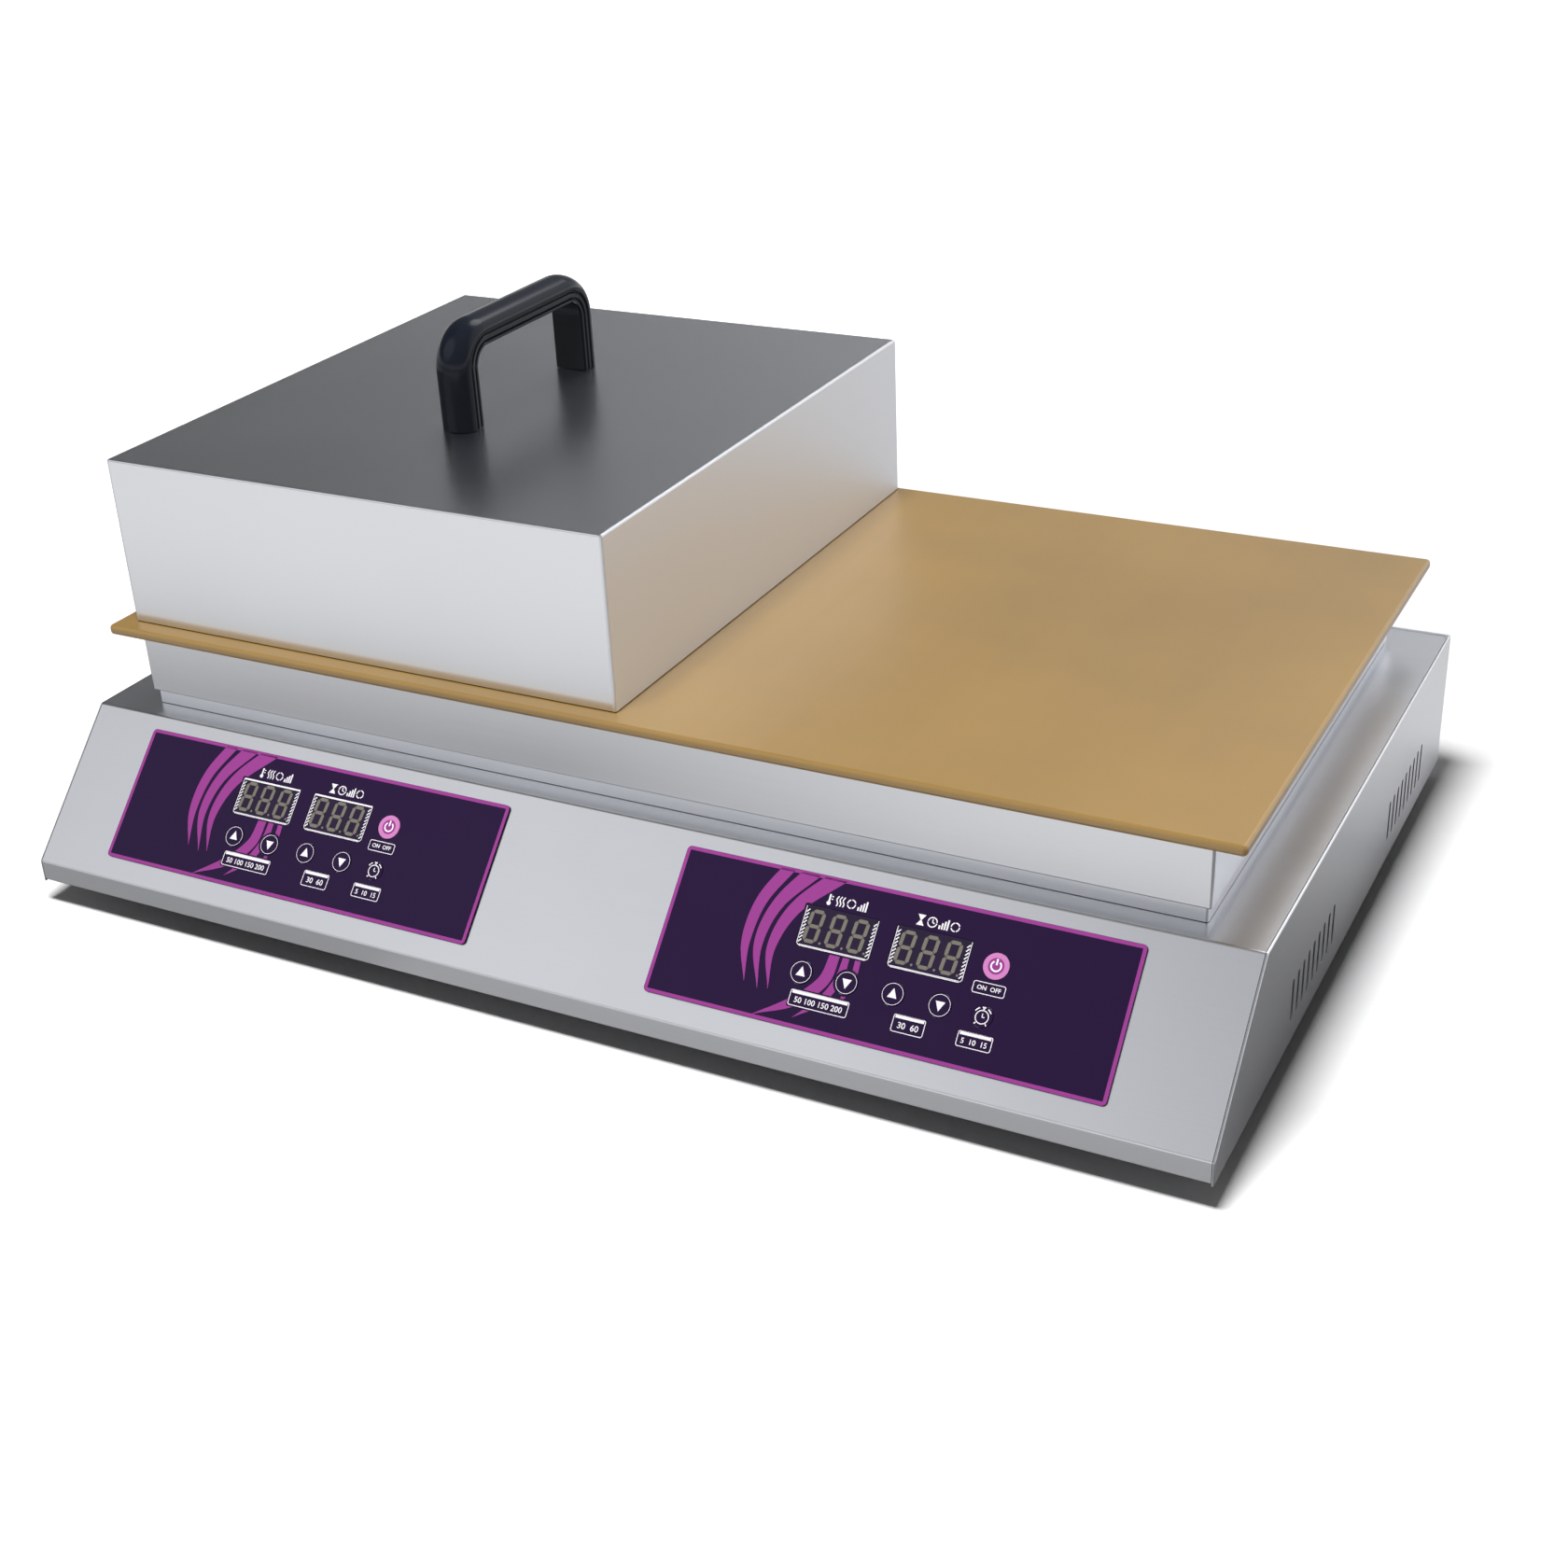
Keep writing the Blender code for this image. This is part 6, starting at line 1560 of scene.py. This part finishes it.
def hang_lamp(power):
    """Hang a soft lamp that faces the object and isn't mirrored in the sheets."""
    light = bpy.data.lights.new("top_lamp", "AREA")
    light.shape, light.energy = "RECTANGLE", power
    light.size, light.size_y = LAMP_SIZE
    lamp = linked("top_lamp", light)
    lamp.visible_glossy = False
    lamp.location = LAMP_PLACE
    lamp.rotation_euler = (LAMP_TARGET - LAMP_PLACE).to_track_quat("-Z", "Y").to_euler()


def make_world(context, studio):
    """Surround the object with a faint even sky, and with soft panels in reflections."""
    world = bpy.data.worlds.new("studio")
    context.scene.world = world
    world.use_nodes = True
    world.cycles.sampling_method = "NONE"
    tree = world.node_tree
    direction = tree.nodes.new("ShaderNodeTexCoord").outputs["Generated"]
    axes = add_node(tree, "ShaderNodeSeparateXYZ", {0: direction}).outputs
    sky = add_node(tree, "ShaderNodeBackground", {
        "Color": WHITE, "Strength": eased(tree, axes["Z"], *SKY_RISE, 0.0, studio.sky)})
    level = summed(tree, eased(tree, axes["Z"], *HORIZON, 1.0, 0.0),
                   eased(tree, axes["X"], *DARK_SIDE, studio.dark, studio.dark + DARK_RISE))
    # Soft panels: direction, closeness at the edge and at full level, and level
    for towards, start, end, strength in (
            ((-0.55, -0.60, 0.58), 0.88, 0.97, studio.front_panel),
            ((0.70, 0.60, 0.30), 0.62, 0.92, studio.side_panel),
            ((0.05, 0.62, 0.78), 0.95, 0.985, BACK_PANEL)):
        near = add_node(tree, "ShaderNodeVectorMath", {
            0: direction, 1: Vector(towards).normalized()}, operation="DOT_PRODUCT")
        level = summed(tree, level, eased(tree, near.outputs["Value"], start, end, 0.0,
                                          strength))
    seen = add_node(tree, "ShaderNodeBackground", {
        "Color": SEEN_COLOUR, "Strength": level})
    plain = add_node(tree, "ShaderNodeBackground", {"Color": WHITE, "Strength": 1.0})
    rays = tree.nodes.new("ShaderNodeLightPath").outputs
    mirrored = math_of(tree, "MAXIMUM", rays["Is Glossy Ray"], rays["Is Transmission Ray"])
    first = add_node(tree, "ShaderNodeMixShader", {0: mirrored, 1: sky, 2: seen})
    last = add_node(tree, "ShaderNodeMixShader", {
        0: rays["Is Camera Ray"], 1: first, 2: plain})
    tree.links.new(last.outputs[0], tree.nodes["World Output"].inputs["Surface"])


def painted_floor_shade(tree, axes, studio):
    """Give the shade painted on the floor in reflections, by place before, behind and beside.
    """
    full_shade = 1.0 - studio.shaded_floor_level
    strip = math_of(tree, "MINIMUM",
                    eased(tree, axes["Y"], *STRIP_EDGE, OPEN_SHADE, full_shade),
                    eased(tree, axes["Y"], *STRIP_FADE, 1.0, OPEN_SHADE))
    ahead = math_of(tree, "MINIMUM",
                    eased(tree, axes["Y"], *AHEAD_EDGE, OPEN_SHADE, AHEAD_SHADE),
                    eased(tree, axes["X"], *AHEAD_FADE, 1.0, OPEN_SHADE))
    to_right = math_of(tree, "MULTIPLY",
                       eased(tree, axes["X"], *RIGHT_EDGE, 0.0, RIGHT_SHADE),
                       eased(tree, axes["Y"], *RIGHT_FADE, 1.0, RIGHT_FADED_SHADE))
    return math_of(tree, "MAXIMUM", math_of(tree, "MAXIMUM", strip, ahead), to_right)


def floor_finish(studio):
    """Pale matt floor that keeps the shadow, white far off, with shade painted on it near the
    object in reflections.
    """
    material, tree = new_finish("studio_floor", 0.9, Specular_IOR_Level=0.0,
                                Emission_Color=WHITE)
    pale = blended(tree, noise(tree, 30.0, 2.0), tint(studio.floor, 0.995),
                   tint(studio.floor))
    places = object_places(tree)
    rays = tree.nodes.new("ShaderNodeLightPath").outputs
    axes = add_node(tree, "ShaderNodeSeparateXYZ", {0: places}).outputs
    # Painted shade: the floor near the object is darkened towards black where it is seen in
    # reflections
    mirrored = math_of(tree, "MULTIPLY", painted_floor_shade(tree, axes, studio), rays["Is Glossy Ray"])
    away = add_node(tree, "ShaderNodeVectorMath", {0: places}, operation="LENGTH")
    far = eased(tree, away.outputs["Value"], *WHITE_FAR, 0.0, 1.0)
    direct = math_of(tree, "MULTIPLY_ADD", rays["Is Glossy Ray"], MIRRORED_GLOW,
                     rays["Is Camera Ray"])
    glow = math_of(tree, "MULTIPLY", far, direct)
    tree.links.new(glow.outputs[0], tree.nodes["Principled BSDF"].inputs["Emission Strength"])
    return dressed(material, blended(tree, mirrored, pale, BLACK, 1.0, 0.0, 1.0))


class PANCAKE_OT_stage(bpy.types.Operator):
    """Lay the floor, hang the lamp and set the camera"""

    bl_idname = "pancake.stage"
    bl_label = "Stage"

    def execute(self, context):
        studio = context.scene.pancake_studio
        outline = rounded_rectangle((FLOOR_HALF, FLOOR_HALF), FLOOR_CORNER)
        floor = linked("floor", prisms([outline], FLOOR_BOTTOM, FLOOR_TOP))
        floor.data.materials.append(floor_finish(studio))
        hang_lamp(studio.lamp)
        make_world(context, studio)
        make_camera(context)
        context.scene.view_settings.view_transform = "Standard"
        return {"FINISHED"}


# Registration

SETTINGS = {
    "pancake_steel": SteelProperties,
    "pancake_vents": VentProperties,
    "pancake_plate": PlateProperties,
    "pancake_lid": LidProperties,
    "pancake_panel": PanelProperties,
    "pancake_studio": StudioProperties,
}
OPERATORS = (
    PANCAKE_OT_housing,
    PANCAKE_OT_hardware,
    PANCAKE_OT_hot_deck,
    PANCAKE_OT_lid,
    PANCAKE_OT_panels,
    PANCAKE_OT_displays,
    PANCAKE_OT_keys,
    PANCAKE_OT_inner_parts,
    PANCAKE_OT_stage,
)


class PANCAKE_PT_sidebar(bpy.types.Panel):
    """List the steps that build the pancake maker and their settings"""

    bl_idname = "PANCAKE_PT_sidebar"
    bl_label = "Pancake maker"
    bl_space_type = "VIEW_3D"
    bl_region_type = "UI"
    bl_category = "Pancake maker"

    def draw(self, context):
        for operator in OPERATORS:
            self.layout.operator(operator.bl_idname)
        for name, group in SETTINGS.items():
            box = self.layout.box()
            box.label(text=group.__doc__)
            for key in group.__annotations__:
                box.prop(getattr(context.scene, name), key)


CLASSES = (*SETTINGS.values(), *OPERATORS, PANCAKE_PT_sidebar)


def register():
    """Register the settings, the steps and the sidebar."""
    for kind in CLASSES:
        bpy.utils.register_class(kind)
    for name, group in SETTINGS.items():
        setattr(bpy.types.Scene, name, PointerProperty(type=group))


def unregister():
    """Take everything off again in the other order."""
    for name in SETTINGS:
        delattr(bpy.types.Scene, name)
    for kind in reversed(CLASSES):
        bpy.utils.unregister_class(kind)


def main():
    """Build every piece and the stage."""
    register()
    bpy.ops.pancake.housing()
    bpy.ops.pancake.hardware()
    bpy.ops.pancake.hot_deck()
    bpy.ops.pancake.lid()
    bpy.ops.pancake.panels()
    bpy.ops.pancake.displays()
    bpy.ops.pancake.keys()
    bpy.ops.pancake.inner_parts()
    bpy.ops.pancake.stage()


if __name__ == "__main__":
    main()
